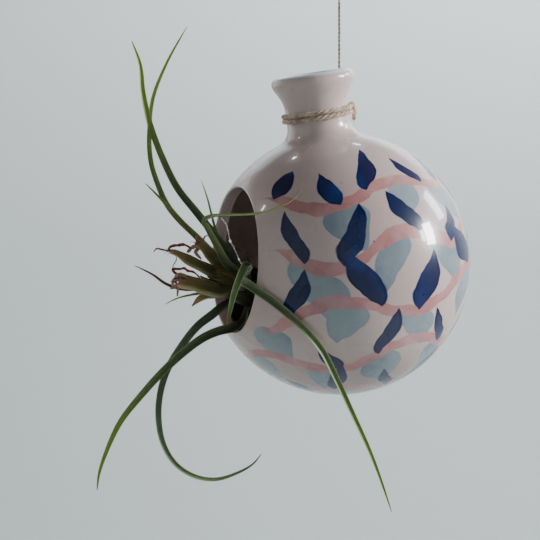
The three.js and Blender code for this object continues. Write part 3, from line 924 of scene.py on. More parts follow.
def binding_point(share):
    """A point of the binding's middle line, in the scene."""
    along = share * (wrap * binding_radius + 2 * straight) - straight
    turned = min(max(along / binding_radius, 0), wrap)
    past = along - turned * binding_radius
    turn = TIE_AZIMUTH + release + turned
    snug = binding_radius - SNUG * SEAT_GAP
    return pot_place @ Vector((
        snug * math.cos(turn) - past * math.sin(turn),
        snug * math.sin(turn) + past * math.cos(turn),
        binding_height + TOUCHING * (climbed(turned) - climbed(wrap / 2)),
    ))


def twine_plies(route):
    """The three plies of the twine along a route."""
    return twisted_plies(route, 3, TWINE_PLY_OFFSET, TWINE_PLY_RADIUS, TWINE_LAY)


binding_route = [binding_point(i / BINDING_STEPS) for i in range(BINDING_STEPS + 1)]
binding_fuzz = fuzz(binding_route, TWINE_DIAMETER / 2, count=260, reach=3.2 * MM)
binding_mesh = joined(
    "twine_binding",
    tubes("binding_plies", twine_plies(binding_route), PLY_ROUNDNESS),
    tubes("binding_hairs", binding_fuzz, HAIR_ROUNDNESS),
)
show(binding_mesh, "planter", "jute_twine", jute_paint, "neck_binding")

# %% Cut end of the twine
TAIL_STEPS = 90
FRAYED_FIBRES = 22
FRAY_LENGTH = 0.6 * MM
FRAY_RADII = [0.1 * MM, 0.09 * MM, 0.07 * MM, 0.03 * MM]


def around_axis(azimuth, radius, height):
    """A point of the pot's own frame by its turn, its distance and its height."""
    return pot_place @ Vector((radius * math.cos(azimuth), radius * math.sin(azimuth), height))


def scattered(reach):
    """A random step of up to so much each way along each axis."""
    return Vector([draw.uniform(-reach, reach) for _ in range(3)])


outside_binding = binding_radius + TWINE_DIAMETER / 2 + SEAT_GAP
over = outside_binding + TWINE_DIAMETER / 2
tail_start = TIE_AZIMUTH - (TIE_KNOT_RADIUS + SEAT_GAP) / tie_radius
TAIL = [
    (0, tie_radius, 0), (-7, tie_radius, 0.1), (-13, over + 0.7 * MM, 0.5),
    (-19, over + 0.4 * MM, 0.8), (-25, over + 0.1 * MM, 0.6), (-28, over, 0),
    (-28, over, -0.7), (-27, over, -1.3), (-25, over - 0.2 * MM, -1.8),
]
tail_points = [
    around_axis(tail_start + math.radians(turn), radius, binding_height + pitches * STRAND_PITCH)
    for turn, radius, pitches in TAIL
]
tail_route = smooth_route(tail_points, TAIL_STEPS)
tail_travel = (tail_route[-1] - tail_route[-6]).normalized()
fray_roots = [tail_route[-2] + scattered(0.5) * MM for _ in range(FRAYED_FIBRES)]
tail_fray = []
for root in fray_roots:
    tip = root + tail_travel * FRAY_LENGTH + scattered(0.25) * MM
    tail_fray.append((smooth_route([root, tip], len(FRAY_RADII)), FRAY_RADII))
tail_fuzz = fuzz(tail_route, TWINE_DIAMETER / 2, count=60, reach=2.6 * MM)
tail_mesh = joined(
    "twine_cut_end",
    tubes("tail_plies", twine_plies(tail_route), PLY_ROUNDNESS),
    tubes("tail_fray", tail_fray, HAIR_ROUNDNESS),
    tubes("tail_hairs", tail_fuzz, HAIR_ROUNDNESS),
)
show(tail_mesh, "planter", "jute_twine", jute_paint, "binding_tail")

# %% Tie knot
COIL_RADIUS = 0.95 * MM
COIL_TURNS = 4
COIL_HALF = 3 * MM
COIL_STEPS = 200
COIL_TUCK = 12
COIL_PLY_RADIUS = 0.42 * MM
COIL_LAY = 5.5 * MM
tie_x = tie_radius * math.cos(TIE_AZIMUTH)
tie_y = tie_radius * math.sin(TIE_AZIMUTH)
tie_middle = Vector((tie_x, tie_y, binding_height))
coil_route = []
for i in range(COIL_STEPS + 1):
    share = i / COIL_STEPS
    turn = math.tau * COIL_TURNS * share
    tuck = min(1, COIL_TUCK * share, COIL_TUCK * (1 - share))
    coil = Vector((math.cos(turn), math.sin(turn), 0)) * COIL_RADIUS * tuck
    coil += UPRIGHT * COIL_HALF * (2 * share - 1)
    coil_route.append(pot_place @ (tie_middle + coil))
coil_plies = twisted_plies(coil_route, 3, TWINE_PLY_OFFSET, COIL_PLY_RADIUS, COIL_LAY)
coil_fuzz = fuzz(coil_route, TWINE_DIAMETER / 2, count=70, reach=2.4 * MM)
tie_mesh = joined(
    "twine_tie_knot",
    tubes("tie_plies", coil_plies, PLY_ROUNDNESS),
    tubes("tie_hairs", coil_fuzz, HAIR_ROUNDNESS),
)
show(tie_mesh, "planter", "jute_twine", jute_paint, "tie_knot")

# %% [markdown]
# ## Leaves
# An air plant's leaves are long, stiff and hollowed along the middle, like a gutter that
# narrows to a point. A flat strip would have no back. Here a crescent section is extruded ring
# by ring along each leaf's route, and two vertex attributes keep how far along and how far
# across each point is, so that the streaks of the finish follow the leaf.

# %% Sections and sweeps
def gutter(curl, thick, count):
    """A leaf's section for a half width of 1: across, up, and 1 on the hollow face."""
    spread = [math.sin(math.pi * (i / (count - 1) - 0.5)) for i in range(count)]
    lift = [curl * (s * s - 0.4) for s in spread]
    half = [thick / 2 * math.sqrt(max(0.0, 1 - s**4)) for s in spread]
    face = [(s, h + t, 1.0) for s, h, t in zip(spread, lift, half)]
    back = [(s, h - t, 0.0) for s, h, t in zip(spread, lift, half)]
    return face + back[-2:0:-1]


def extruded(name, rings, shares, section):
    """A closed mesh of rings, each extruded from the one before and marked for its finish."""
    bm = bmesh.new()
    along = bm.verts.layers.float.new("along")
    across = bm.verts.layers.float.new("across")
    hollow = bm.verts.layers.float.new("hollow")
    start = [bm.verts.new(point) for point in rings[0]]
    cap = bm.faces.new(start)
    for i, (ring, share) in enumerate(zip(rings, shares)):
        if i > 0:
            cap = bmesh.ops.extrude_discrete_faces(bm, faces=[cap])["faces"][0]
        for vert, point, (x, _, inner) in zip(cap.verts, ring, section):
            vert.co = point
            vert[along] = share
            vert[across] = x
            vert[hollow] = inner
    bm.faces.new(start[::-1])
    bmesh.ops.recalc_face_normals(bm, faces=bm.faces)
    return finished(bm, name)


def swept(name, frames, halves, section):
    """A section that is extruded along frames, with its half width at each."""
    rings = [
        [place + (side * x + face * y) * half for x, y, _ in section]
        for (place, side, face), half in zip(frames, halves)
    ]
    shares = [i / (len(rings) - 1) for i in range(len(rings))]
    return extruded(name, rings, shares, section)


print("sweeps are ready")

# %% [markdown]
# ## Leaf finishes
# The leaves are dull green under a fine grey dust of scales that drink from the air. Their
# edges are paler and the tips dry out to straw or brown. Painted shade darkens the middle,
# where the hollow's channel lies, and the foot, which sits in the shaded mouth. One function
# makes a finish from five colours, because all leaves share that order.

# %% Leaf paints
DUST = tone(170, 178, 152)
PAINTED_FOOT_SHADE = tone(32, 30, 18)
STREAK_SCALE = 4
DUST_SCALE = 2600
LEAF_GRAIN = 0.12 * MM


def leaf_paint(name, colours, tip_start, foot=0.2, dusting=0.2, edging=0.5):
    """A leaf's finish from its deep, fresh, young, edge and tip colours."""
    deep, fresh, young, edge, tip = [tone(*colour) for colour in colours]
    paint = Paint(name)
    along = paint.attribute("along")
    across = paint.attribute("across")
    hollow = paint.attribute("hollow")
    lengthwise = paint.add("ShaderNodeCombineXYZ", {}, {"X": across * 3, "Y": along * 2.2, "Z": 0})
    streak = paint.noise(lengthwise, STREAK_SCALE, 4)
    dust = paint.noise(paint.place(), DUST_SCALE, 3)
    colour = paint.mix(streak.rise(0.35, 0.66), deep, fresh)
    # Painted shade: darker along the middle, where the hollow's channel is shaded.
    colour = paint.mix((1 - across.size()) ** 2 * 0.65, colour, deep)
    colour = paint.mix((along + (streak - 0.5) * 0.3).rise(0.35, 0.9) * 0.85, colour, young)
    colour = paint.mix(across.size().rise(0.66, 0.95) * edging, colour, edge)
    dusty = (dust.rise(0.5, 0.75) + hollow * along.rise(0.9, 0.2) * 0.8) * dusting
    colour = paint.mix(dusty, colour, DUST)
    withered = (along + (streak - 0.5) * 0.12).rise(tip_start, min(tip_start + 0.2, 1.02))
    colour = paint.mix(withered, colour, tip)
    # Painted shade: the foot, which sits in the shaded mouth, is darkened.
    colour = paint.mix(along.rise(foot, 0.02) * 0.8, colour, PAINTED_FOOT_SHADE)
    paint.dress(Base_Color=colour, Roughness=dust * 0.2 + 0.4)
    paint.dress(Sheen_Weight=0.15, Specular_IOR_Level=0.4)
    paint.dress(Normal=paint.bump(streak + dust * 0.3, 0.3, LEAF_GRAIN))
    return paint


dark_leaf = leaf_paint(
    "dark_leaf",
    [(50, 58, 28), (118, 128, 66), (166, 186, 66), (150, 164, 96), (160, 150, 70)],
    0.96, foot=0.4, dusting=0.16,
)
bright_leaf = leaf_paint(
    "bright_leaf",
    [(88, 104, 44), (140, 156, 82), (186, 208, 96), (196, 208, 148), (190, 196, 110)],
    0.95, foot=0.2,
)
grey_leaf = leaf_paint(
    "grey_leaf",
    [(72, 80, 50), (114, 126, 84), (124, 142, 92), (152, 166, 122), (140, 120, 74)],
    0.97, foot=0.3,
)
green_leaf = leaf_paint(
    "green_leaf",
    [(54, 66, 28), (122, 134, 72), (150, 172, 60), (176, 186, 130), (148, 140, 80)],
    0.95, foot=0.15, edging=0.75,
)
olive_leaf = leaf_paint(
    "olive_leaf",
    [(108, 106, 46), (148, 144, 70), (160, 166, 76), (176, 174, 104), (150, 158, 74)],
    0.95, foot=0.18, dusting=0.12,
)
pale_leaf = leaf_paint(
    "pale_leaf",
    [(108, 112, 58), (152, 158, 90), (174, 188, 88), (194, 200, 140), (176, 148, 84)],
    0.8, foot=0.28,
)
brown_tip_leaf = leaf_paint(
    "brown_tip_leaf",
    [(58, 74, 38), (106, 126, 70), (118, 138, 76), (196, 208, 156), (142, 92, 52)],
    0.84, foot=0.36, edging=0.9,
)
dry_leaf = leaf_paint(
    "dry_leaf",
    [(98, 76, 58), (142, 114, 90), (132, 102, 78), (160, 130, 104), (92, 70, 54)],
    0.9, dusting=0.1,
)
bract_skin = leaf_paint(
    "bract_skin",
    [(88, 80, 40), (126, 114, 64), (172, 140, 88), (174, 160, 100), (196, 146, 108)],
    0.8, foot=0.42, dusting=0.08,
)
rust_skin = leaf_paint(
    "rust_bract",
    [(134, 106, 62), (168, 138, 86), (172, 138, 84), (184, 156, 106), (110, 70, 44)],
    0.86, foot=0.1, dusting=0.08,
)
# The sheaths' own dark olive is darkened further with painted shade, for the shaded depth of the
# mouth where the base sits.
base_skin_and_shade = leaf_paint(
    "base_sheath_and_shade",
    [(32, 32, 18), (56, 54, 30), (112, 102, 58), (92, 86, 50), (112, 102, 58)],
    0.95, dusting=0.03,
)
base_skin_and_shade.dress(Sheen_Weight=0, Specular_IOR_Level=0.12)
print("leaf finishes:", [m.name for m in bpy.data.materials if "leaf" in m.name])

# %% [markdown]
# ## The plant's base
# Leaves of an air plant widen at the foot into spoon-shaped sheaths that wrap each other like
# the scales of an onion. A bulb is spun for the core, and each sheath is a curved shell that
# follows the bulb's outline and narrows towards the leaf.

# %% Base outline
BASE_RADIUS = 6.5
BASE_LENGTH = 25
BASE_BELLY = 0.85
FOOT_SUNK = 0.8
base_middle = Vector((-3.5, 5.5, -8.5))
base_turn = math.radians(-15)
base_tilt = math.radians(15)
base_axis = Vector((
    math.cos(base_turn) * math.cos(base_tilt),
    math.sin(base_turn) * math.cos(base_tilt),
    math.sin(base_tilt),
))
base_near = UPRIGHT.cross(base_axis).normalized()
base_up = base_axis.cross(base_near)
plant_place = mouth_place @ Matrix.Scale(MM, 4)


def base_profile(along):
    """The base's radius at a distance along its axis."""
    share = min(max(along / BASE_LENGTH + 0.5, 0), 1)
    return BASE_RADIUS * math.sqrt(max(0.0, math.sin(math.pi * share**BASE_BELLY)))


def round_base(along, radius, turn):
    """A point at a turn round the base's axis, from up towards the near side."""
    out = base_up * math.cos(turn) + base_near * math.sin(turn)
    return base_middle + base_axis * along + out * radius


def on_base(along, turn):
    """Where a leaf's foot starts, a little under the base's surface."""
    return round_base(along, FOOT_SUNK * base_profile(along), math.radians(turn))


print("base axis:", base_axis)

# %% Core and sheaths
SHEATH_BEND = 9
SHEATH_TAPER = 0.24
SHEATH_COUNT = 13
SHEATH_STEPS = 18
SHEATH_SPREAD = math.radians(56)
SHEATH_TIP = math.radians(5)
SHEATH_ROUNDING = 1.6
SHEATH_THICK = 0.55
SHEATH_SUNK = -0.1
LEAF_TURN = math.radians(137.5)
SPREAD = (-1, -0.7, -0.35, 0, 0.35, 0.7, 1)
SHEATH_SECTION = [(s, SHEATH_THICK * math.sqrt(1 - s**4), 0.0) for s in SPREAD]
SHEATH_SECTION += [(s, SHEATH_SUNK, 0.0) for s in SPREAD[-2:0:-1]]
CORE_STEPS = 24
CORE_SHRINK = 0.97
CORE_MERGE = 0.001


def sheath_radius(along):
    """Follows the base, then closes round the feet of the bracts."""
    return base_profile(min(along, SHEATH_BEND)) - SHEATH_TAPER * max(along - SHEATH_BEND, 0)


def sheath(i):
    """A curved shell on the base, further out along it and lower for each next one."""
    start, stop = -12 + 0.45 * i, 10.5 + 0.5 * i
    lift = 0.1 + 0.03 * (SHEATH_COUNT - 1 - i)
    shares = [step / SHEATH_STEPS for step in range(SHEATH_STEPS + 1)]
    rings = []
    for share in shares:
        along = start + (stop - start) * share
        radius = sheath_radius(along) * 0.98 + lift
        half = SHEATH_SPREAD * (1 - share**SHEATH_ROUNDING) + SHEATH_TIP
        rings.append([
            plant_place @ round_base(along, radius + rise, LEAF_TURN * i + half * side)
            for side, rise, _ in SHEATH_SECTION
        ])
    marks = [0.1 + 0.7 * share for share in shares]
    return extruded(f"sheath_{i}", rings, marks, SHEATH_SECTION)


core = bmesh.new()
core_line = Outline(core, 0, -BASE_LENGTH / 2)
for i in range(1, CORE_STEPS):
    along = BASE_LENGTH * (i / CORE_STEPS - 0.5)
    core_line.line(base_profile(along) * CORE_SHRINK, along)
core_line.line(0, BASE_LENGTH / 2)
spun(core, UPRIGHT, 40)
bmesh.ops.remove_doubles(core, verts=core.verts, dist=CORE_MERGE)
core_place = Matrix((base_up, base_near, base_axis)).transposed().to_4x4()
core_place.translation = base_middle
bmesh.ops.transform(core, matrix=plant_place @ core_place, verts=core.verts)
core_mesh = finished(core, "core")
base_mesh = joined("leaf_sheaths", core_mesh, *[sheath(i) for i in range(SHEATH_COUNT)])
show(base_mesh, "plant", "plant_base", base_skin_and_shade, "plant_base")

# %% [markdown]
# ## Where each leaf runs
# Every leaf leaves the base, bends over the mouth's edge or stands clear of it, and ends in a
# fine tip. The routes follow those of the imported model, in millimetres in the mouth's own
# frame, so each finer leaf lies along the solid that it stands for. Each row has a leaf's
# finish, its width, how long it stays wide, where its hollow face looks, and its route.

# %% Points of reference
def over_globe(polar, turn, lift):
    """A point over the globe, by its angle from the mouth's axis and its turn round it."""
    tilt, round_mouth = math.radians(polar), math.radians(turn)
    reach = GLOBE_RADIUS / MM + lift
    side = reach * math.sin(tilt)
    out = reach * math.cos(tilt) - mouth_depth / MM
    return Vector((out, side * math.sin(round_mouth), side * math.cos(round_mouth)))


def over_sill(out, near, lift):
    """A point over the mouth's lowest edge."""
    return Vector((out, near, lift - MOUTH_RADIUS / MM))


def over_jamb(out, past, up):
    """A point past the mouth's near edge."""
    return Vector((out, past + MOUTH_RADIUS / MM, up))


def spots(*triples):
    return [Vector(triple) for triple in triples]


def each(place, *triples):
    return [place(*triple) for triple in triples]


print("mouth centre to its edge:", MOUTH_RADIUS / MM, "mm")

# %% Leaf routes
NEARWARD = Vector((0.3, 0.85, 0.4))
NEAR_AND_UP = Vector((0.2, 0.6, 0.75))
UP_OVER = Vector((0.1, 0.25, 0.95))
LEAF_ROUTES = {
    "leaf_front_long": (green_leaf, 3.4, 0.85, [(0.12, NEARWARD)], [
        on_base(0, 85), over_jamb(2, -8.5, -6), *each(
            over_globe, (30, 101, 2.2), (36, 103.5, 1.9), (44, 107, 1.8), (52, 111.5, 1.8),
            (59, 116, 2.1), (66.5, 121.7, 3.6), (74, 128.9, 8.5), (81.3, 135.4, 17),
            (87.3, 140.6, 28.1), (90.6, 144.2, 37.7), (92.6, 146.6, 46.1))]),
    "leaf_low_left": (dark_leaf, 3.5, 1.3, [(0.2, NEARWARD)], [
        on_base(-6, 170), *each(
            over_sill, (-6, 5.5, 9.8), (-3.5, 7.5, 5), (1, 9, 3), (7, 10, 1.8), (13.5, 11.5, -0.7),
            (20.5, 11.5, -6.2), (27.2, 10.9, -13), (33.7, 9.7, -21.2), (40.3, 7.4, -31.5),
            (44.5, 6.4, -42.1), (46.7, 5.5, -51), (47.1, 5.1, -57.1))]),
    "leaf_low_curled": (grey_leaf, 3.0, 1.2, [(0.12, NEARWARD)], [
        on_base(1, 185), *spots(
            (3, 5, -16), (7.5, 5, -19.5), (13, 4.5, -24), (18.5, 4, -31.5), (23, 4, -39.5),
            (25.5, 4.5, -48), (26.1, 5.5, -56.7), (24.3, 7, -66.5), (20, 9.5, -73.7),
            (13.5, 12.5, -77.7), (6, 15, -78.5), (-1.5, 17.5, -75.5), (-6.5, 19, -72),
            (-9.5, 19.5, -68))]),
    "leaf_bent_over": (pale_leaf, 3.1, 0.5, [(0.05, NEARWARD), (0.36, NEARWARD), (0.5, UP_OVER)], [
        on_base(3, 55), *spots(
            (5, 7.8, 0), (8, 7, 5), (11.5, 5.5, 11), (13.5, 6, 14.5), (12, 9.5, 16.5)), *each(
            over_globe, (25.2, 42, 5.9), (32.5, 49.8, 3.8), (39.8, 53.2, 2.4), (46.1, 53, 2),
            (51.1, 52, 2), (55.4, 48.4, 2.4))]),
    "leaf_tall_left": (dark_leaf, 2.9, 2.3, [(0.12, NEARWARD)], [
        on_base(1, 10), *spots(
            (2.5, -1, 3.5), (7, -5, 9.5), (12.2, -8.5, 16), (19, -13.1, 24.6), (24.1, -17.5, 35),
            (28.8, -21, 47.5), (31.7, -22.3, 58.7), (33.2, -23.1, 68.9), (36.9, -23.4, 77.6))]),
    "leaf_tall_right": (bright_leaf, 2.6, 1.3, [(0.12, NEARWARD)], [
        on_base(1, 285), *spots(
            (4, -10, 0.5), (9.7, -15.4, 6.4), (15.6, -19.4, 12), (19.9, -22.8, 17.4),
            (23.3, -25.8, 24.9), (25.9, -28.7, 33.7), (26.7, -30.3, 45), (25.8, -31, 57.5),
            (21.5, -29, 71.5), (15.7, -25.3, 84.9))]),
    "leaf_side_left": (olive_leaf, 2.6, 1.1, [(0.12, NEAR_AND_UP)], [
        on_base(4, 330), *spots(
            (5, -4, 0), (12, -8.5, 7), (18.5, -13, 14), (24, -17, 20), (29.5, -20.5, 25.5))]),
    "leaf_front_short": (brown_tip_leaf, 3.4, 1.5, [(0.3, NEARWARD)], [
        on_base(0, 65), *each(
            over_jamb, (1.6, -5, 0.6), (3.2, -1.6, 1.2), (4.7, 0.6, 0), (6.5, 1.9, -3.2),
            (8.3, 2.1, -9), (9.2, 2.3, -14), (9.8, 2.3, -19.2))]),
    "leaf_fine_upright": (bright_leaf, 1.5, 1, [(0.12, NEARWARD)], [
        on_base(-3, 325), *spots(
            (-0.5, -9.5, 2.5), (3, -11, 8), (5.5, -11.5, 15), (7.5, -12, 21.5), (10, -13, 28))]),
    "leaf_fine_low": (pale_leaf, 1.1, 1, [(0.12, NEAR_AND_UP)], [
        on_base(6, 225), *spots(
            (9, -6, -13.5), (13, -7.5, -14.5), (17.5, -9, -16), (22, -10, -18.5))]),
    "leaf_dry_left": (dry_leaf, 2.2, 1, [(0.12, NEAR_AND_UP)], [
        on_base(5, 255), *spots(
            (8, -8.5, -12), (15, -11.5, -13), (21, -13, -11.5), (26.5, -14.5, -8), (33, -16, -5))]),
    "leaf_dry_inside": (dry_leaf, 2.6, 1, [(0.12, NEARWARD)], [
        on_base(-8, 320), *spots((-9, -4, -2), (-8, -8.5, 2), (-4, -11, 3))]),
}

print("leaves:", len(LEAF_ROUTES))

# %% Grow the leaves
LONG_ROUTE = 7
LONG_STEPS = 72
SHORT_STEPS = 40
BLADE_TIP = 0.12
FOOT_SPREAD = 0.9
FOOT_REACH = 9
LEAF_GUTTER = gutter(0.75, 0.5, 11)
DRY_SLOT = {"leaf_dry_left", "leaf_dry_inside"}


def leaf_half(t, width, full, length):
    """Half a leaf's width, with a wider foot and a fine tip."""
    foot = FOOT_SPREAD * math.exp(-t * length / FOOT_REACH)
    return max(width / 2 * math.sqrt(1 - t**full) + foot, BLADE_TIP)


def on_plant(frames):
    """Frames of the mouth in millimetres, put into the scene."""
    turn = mouth_place.to_3x3()
    return [(plant_place @ place, turn @ side, turn @ face) for place, side, face in frames]


for node, (paint, width, full, faces, points) in LEAF_ROUTES.items():
    count = LONG_STEPS if len(points) > LONG_ROUTE else SHORT_STEPS
    route = smooth_route(points, count)
    length = route_length(route)
    halves = [leaf_half(i / (count - 1), width, full, length) * MM for i in range(count)]
    frames = on_plant(turned_frames(route, [(0, base_axis), *faces]))
    mesh = swept(node.replace("leaf", "blade"), frames, halves, LEAF_GUTTER)
    show(mesh, "plant", "dry_leaf" if node in DRY_SLOT else "green_leaf", paint, node)

# %% [markdown]
# ## Bracts and withered flowers
# The flowers sat in folded leaves called bracts. Only their dried rests are left: torn edges
# and a few red threads that curl back. A bract is swept like a leaf with a fuller section that
# swells a third of the way along, and each shred is a thin ribbon.

# %% Bracts
POD_START = 0.25
POD_FULLNESS = 0.6
POD_CLOSES = 0.78
POD_RIPPLES = 15
POD_RIPPLE = 0.06
BRACT_STEPS = 44
LAST_RING = 0.999
BRACT_SECTION = gutter(0.3, 1.05, 9)
BRACT_ROUTES = {
    "bract_middle": (bract_skin, 4.7, 0.62, 0.25, 0.1, [
        on_base(10, 60), *spots(
            (8.5, 4.5, -4.2), (12, 3.5, -2.7), (17, 1.5, -0.5), (21, -0.5, 1.7), (24, -1.5, 2.5))]),
    "bract_lower": (bract_skin, 6.3, 0.95, 0.75, 1.4, [
        on_base(8, 125), *spots(
            (6.5, 9, -10.3), (11, 7.5, -9.7), (16.5, 5.5, -8.4), (21.4, 4, -7.7))]),
    "bract_upper": (bract_skin, 4.8, 0.8, 0.75, 1.2, [
        on_base(9, 350), *spots((7, -1.5, 0), (10, -3.5, 3.5), (12.5, -4.5, 5.5))]),
    "bract_bottom": (rust_skin, 3.2, 0.24, 1, 0.2, [
        on_base(7, 200), *spots(
            (7, 2.5, -12.6), (9.5, 2, -13.2), (12, 1.5, -14.4), (14.7, 1, -17.2))]),
}


def torn(mesh, reach):
    """Pulls the points of a sweep's last ring in and out along it, like a torn edge."""
    shares = mesh.attributes["along"].data
    last = [vert for vert, share in zip(mesh.vertices, shares) if share.value > LAST_RING]
    middle = sum((vert.co for vert in last), Vector()) / len(last)
    pull = (middle - mouth_place.translation).normalized()
    for vert in last:
        vert.co += pull * draw.uniform(-reach, 0.5 * reach) * MM


def bract_half(t, width, blunt, end):
    """Half a bract's width: a pod that stays at least so blunt and rounds off to its end."""
    swell = max(math.sin(math.pi * (POD_START + (1 - POD_START) * t)), 0) ** POD_FULLNESS
    closing = math.sqrt(1 - max(0, (t - POD_CLOSES) / (1 - POD_CLOSES)) ** 2)
    ripple = 1 + POD_RIPPLE * math.sin(POD_RIPPLES * t + width)
    return width / 2 * max(swell, blunt) * ripple * (end + (1 - end) * closing)


for node, (paint, width, blunt, end, tear, points) in BRACT_ROUTES.items():
    route = smooth_route(points, BRACT_STEPS)
    halves = [
        bract_half(i / (BRACT_STEPS - 1), width, blunt, end) * MM for i in range(BRACT_STEPS)
    ]
    frames = on_plant(turned_frames(route, [(0, NEAR_AND_UP), (1, NEAR_AND_UP)]))
    mesh = swept(node.replace("bract", "folded_bract"), frames, halves, BRACT_SECTION)
    torn(mesh, tear)
    show(mesh, "plant", "dry_leaf" if paint is rust_skin else "bract", paint, node)

# %% Shred finishes
red_thread = leaf_paint(
    "red_thread",
    [(128, 50, 54), (164, 78, 74), (158, 74, 70), (184, 112, 100), (140, 80, 68)],
    0.85, foot=0.03, dusting=0.08,
)
shred_skin = leaf_paint(
    "withered_shred",
    [(168, 114, 94), (206, 156, 130), (194, 140, 116), (222, 180, 154), (176, 122, 100)],
    0.85, foot=0.03, dusting=0.08,
)
print("shred finishes:", red_thread.material.name, "and", shred_skin.material.name)

# %% Shreds and threads
RIBBON = gutter(0.5, 0.3, 5)
RIBBON_STEPS = 26
RIBBON_END = 0.35
FRAY_STEPS = 12


def ribbon_half(t):
    """A strip's share of its half width, full before its middle and ragged all along."""
    swell = math.sin(math.pi * (0.2 + 0.75 * t))
    return (RIBBON_END + (1 - RIBBON_END) * swell) * draw.uniform(0.75, 1.2)


def ribbons(name, paint, rows):
    """Thin strips, each with its half width and its points, as one piece on the plant."""
    meshes = []
    for half_width, points in rows:
        route = smooth_route(spots(*points), RIBBON_STEPS)
        halves = [
            half_width * MM * ribbon_half(i / (RIBBON_STEPS - 1)) for i in range(RIBBON_STEPS)
        ]
        frames = on_plant(carried_frames(route, NEARWARD))
        meshes.append(swept("strip", frames, halves, RIBBON))
    return show(joined(name, *meshes), "plant", "dry_leaf", paint)


def frayed(name, middle, spread, outwards, count):
    """Fine dried hairs that stand out of a torn end, as short bent tubes."""
    strands = []
    for _ in range(count):
        root = Vector(middle) + scattered(spread)
        bend = scattered(1)
        reach = Vector(outwards) * draw.uniform(0.8, 2)
        knee = root + 0.6 * reach + 0.5 * bend
        points = [root - 0.4 * reach, root, knee, root + reach + 1.2 * bend]
        route = [plant_place @ point for point in smooth_route(points, FRAY_STEPS)]
        strands.append((route, [(0.16 - 0.01 * i) * MM for i in range(FRAY_STEPS)]))
    return show(tubes(name, strands, 1), "plant", "dry_leaf", shred_skin)


ribbons("red_flower_threads", red_thread, [
    (0.58, [(23.2, -1.4, 2.3), (23.9, -1.9, 3.4), (22.5, -1.6, 4.4), (20.8, -1.0, 4.7),
            (18.8, -0.3, 5.1), (17.1, 0.4, 4.4), (16.2, 0.8, 3.7), (17.0, 0.7, 2.4)]),
    (0.52, [(20.3, 3.8, -6.2), (22.5, 1.9, -4.7), (23.1, 1.4, -3.8), (21.8, 1.8, -3.6),
            (20.1, 2.4, -3.5), (19.1, 2.7, -3.1), (17.8, 3.4, -4.0), (16.0, 4.0, -4.2),
            (14.3, 4.8, -5.5), (13.3, 5.3, -6.6)]),
])
ribbons("withered_shreds", shred_skin, [
    (0.42, [(23.4, -1.5, 2.4), (25.9, -2.4, 2.7), (28.0, -3.2, 3.0), (28.6, -3.4, 2.5),
            (29.0, -3.5, 1.6)]),
    (0.22, [(21.4, 0, 0.6), (21.6, 0.5, -0.8), (22.5, 0.6, -2.3), (22.9, 0.9, -3.8)]),
    (0.8, [(19.6, 4.6, -6.6), (22.0, 2.8, -7.1), (22.9, 2.6, -8.6), (22.5, 2.9, -9.6),
           (21.1, 3.5, -10.3)]),
    (0.7, [(19.4, 4.8, -7.6), (21.5, 3.4, -9.4), (22.8, 3.0, -10.4), (23.8, 2.6, -10.6)]),
    (0.6, [(19.6, 4.6, -8.4), (20.8, 3.7, -9.8), (21.1, 3.6, -11.7), (21.2, 3.8, -13.3)]),
    (0.6, [(19.8, 4.4, -6.2), (21.2, 3.2, -6.9), (21.9, 3.0, -8.3), (20.5, 3.8, -9.2)]),
    (0.7, [(18.8, 6.0, -5.6), (20.4, 5.2, -5.2), (21.8, 4.2, -5.4), (22.6, 3.2, -6.4)]),
    (0.6, [(18.6, 6.4, -8.4), (20.2, 5.6, -9.0), (21.4, 4.6, -8.8), (22.2, 3.8, -8.0)]),
    (0.5, [(18.9, 6.2, -7.2), (20.6, 5.6, -7.6), (21.9, 4.6, -7.2), (22.4, 3.6, -7.8)]),
    (0.75, [(10.8, -3.6, 4.2), (11.9, -4.3, 5.0), (12.7, -4.8, 6.6), (13.0, -5.1, 8.5)]),
    (0.9, [(10.6, -3.4, 4.0), (12.2, -4.2, 4.4), (13.7, -4.7, 3.9), (15.1, -5.1, 2.9),
           (15.9, -5.2, 1.6)]),
    (0.8, [(10.4, -3.2, 3.8), (11.9, -4.0, 3.5), (13.0, -4.2, 2.1), (11.9, -3.7, 0.6),
           (11.0, -3.2, -0.3)]),
    (0.4, [(10.4, -3.8, 4.6), (10.1, -5.2, 6.5), (9.4, -5.6, 7.8), (8.2, -5.4, 8.3)]),
])
frayed("lower_bract_fray", (20.4, 4.4, -7.6), 1.5, (1.2, -0.3, 0.2), 14)
frayed("upper_bract_fray", (12, -4.3, 5), 1.1, (0.9, -0.3, 0.6), 12)
frayed("middle_bract_fray", (23.3, -1.3, 2.3), 0.5, (1, -0.2, 0), 5)

# %% [markdown]
# ## White thread
# A pale fibre has caught on the bent leaf and hangs down into the mouth, with two tiny knots.
# It is a single thin tube whose radius swells at each knot, with a few loose hairs. It is so
# thin that a faint glow of its own keeps it as bright as it looks in the light.

# %% White thread
THREAD_STEPS = 60
THREAD_RADIUS = 0.075
THREAD_WAVER = 0.03
THREAD_KNOTS = [(26, 1.2, 0.5), (45, 1.1, 0.3)]
thread_paint = fibre_paint("white_thread", (222, 221, 216), (240, 239, 235), (250, 250, 248))
thread_points = spots(
    (7.6, 7.2, 16.0), (5.1, 5.6, 13.6), (3.3, 6.0, 7.6), (1.4, 7.0, 4.2), (-0.1, 7.8, 0.8),
    (-3.1, 8.7, -3.0),
)
thread_route = smooth_route([plant_place @ point for point in thread_points], THREAD_STEPS)


def thread_radius(step):
    """The thread's radius, which wavers and swells at the knots."""
    swell = sum(
        size * math.exp(-((step - place) / width) ** 2) for place, width, size in THREAD_KNOTS
    )
    return (THREAD_RADIUS + THREAD_WAVER * math.sin(step * 1.7) + swell) * MM


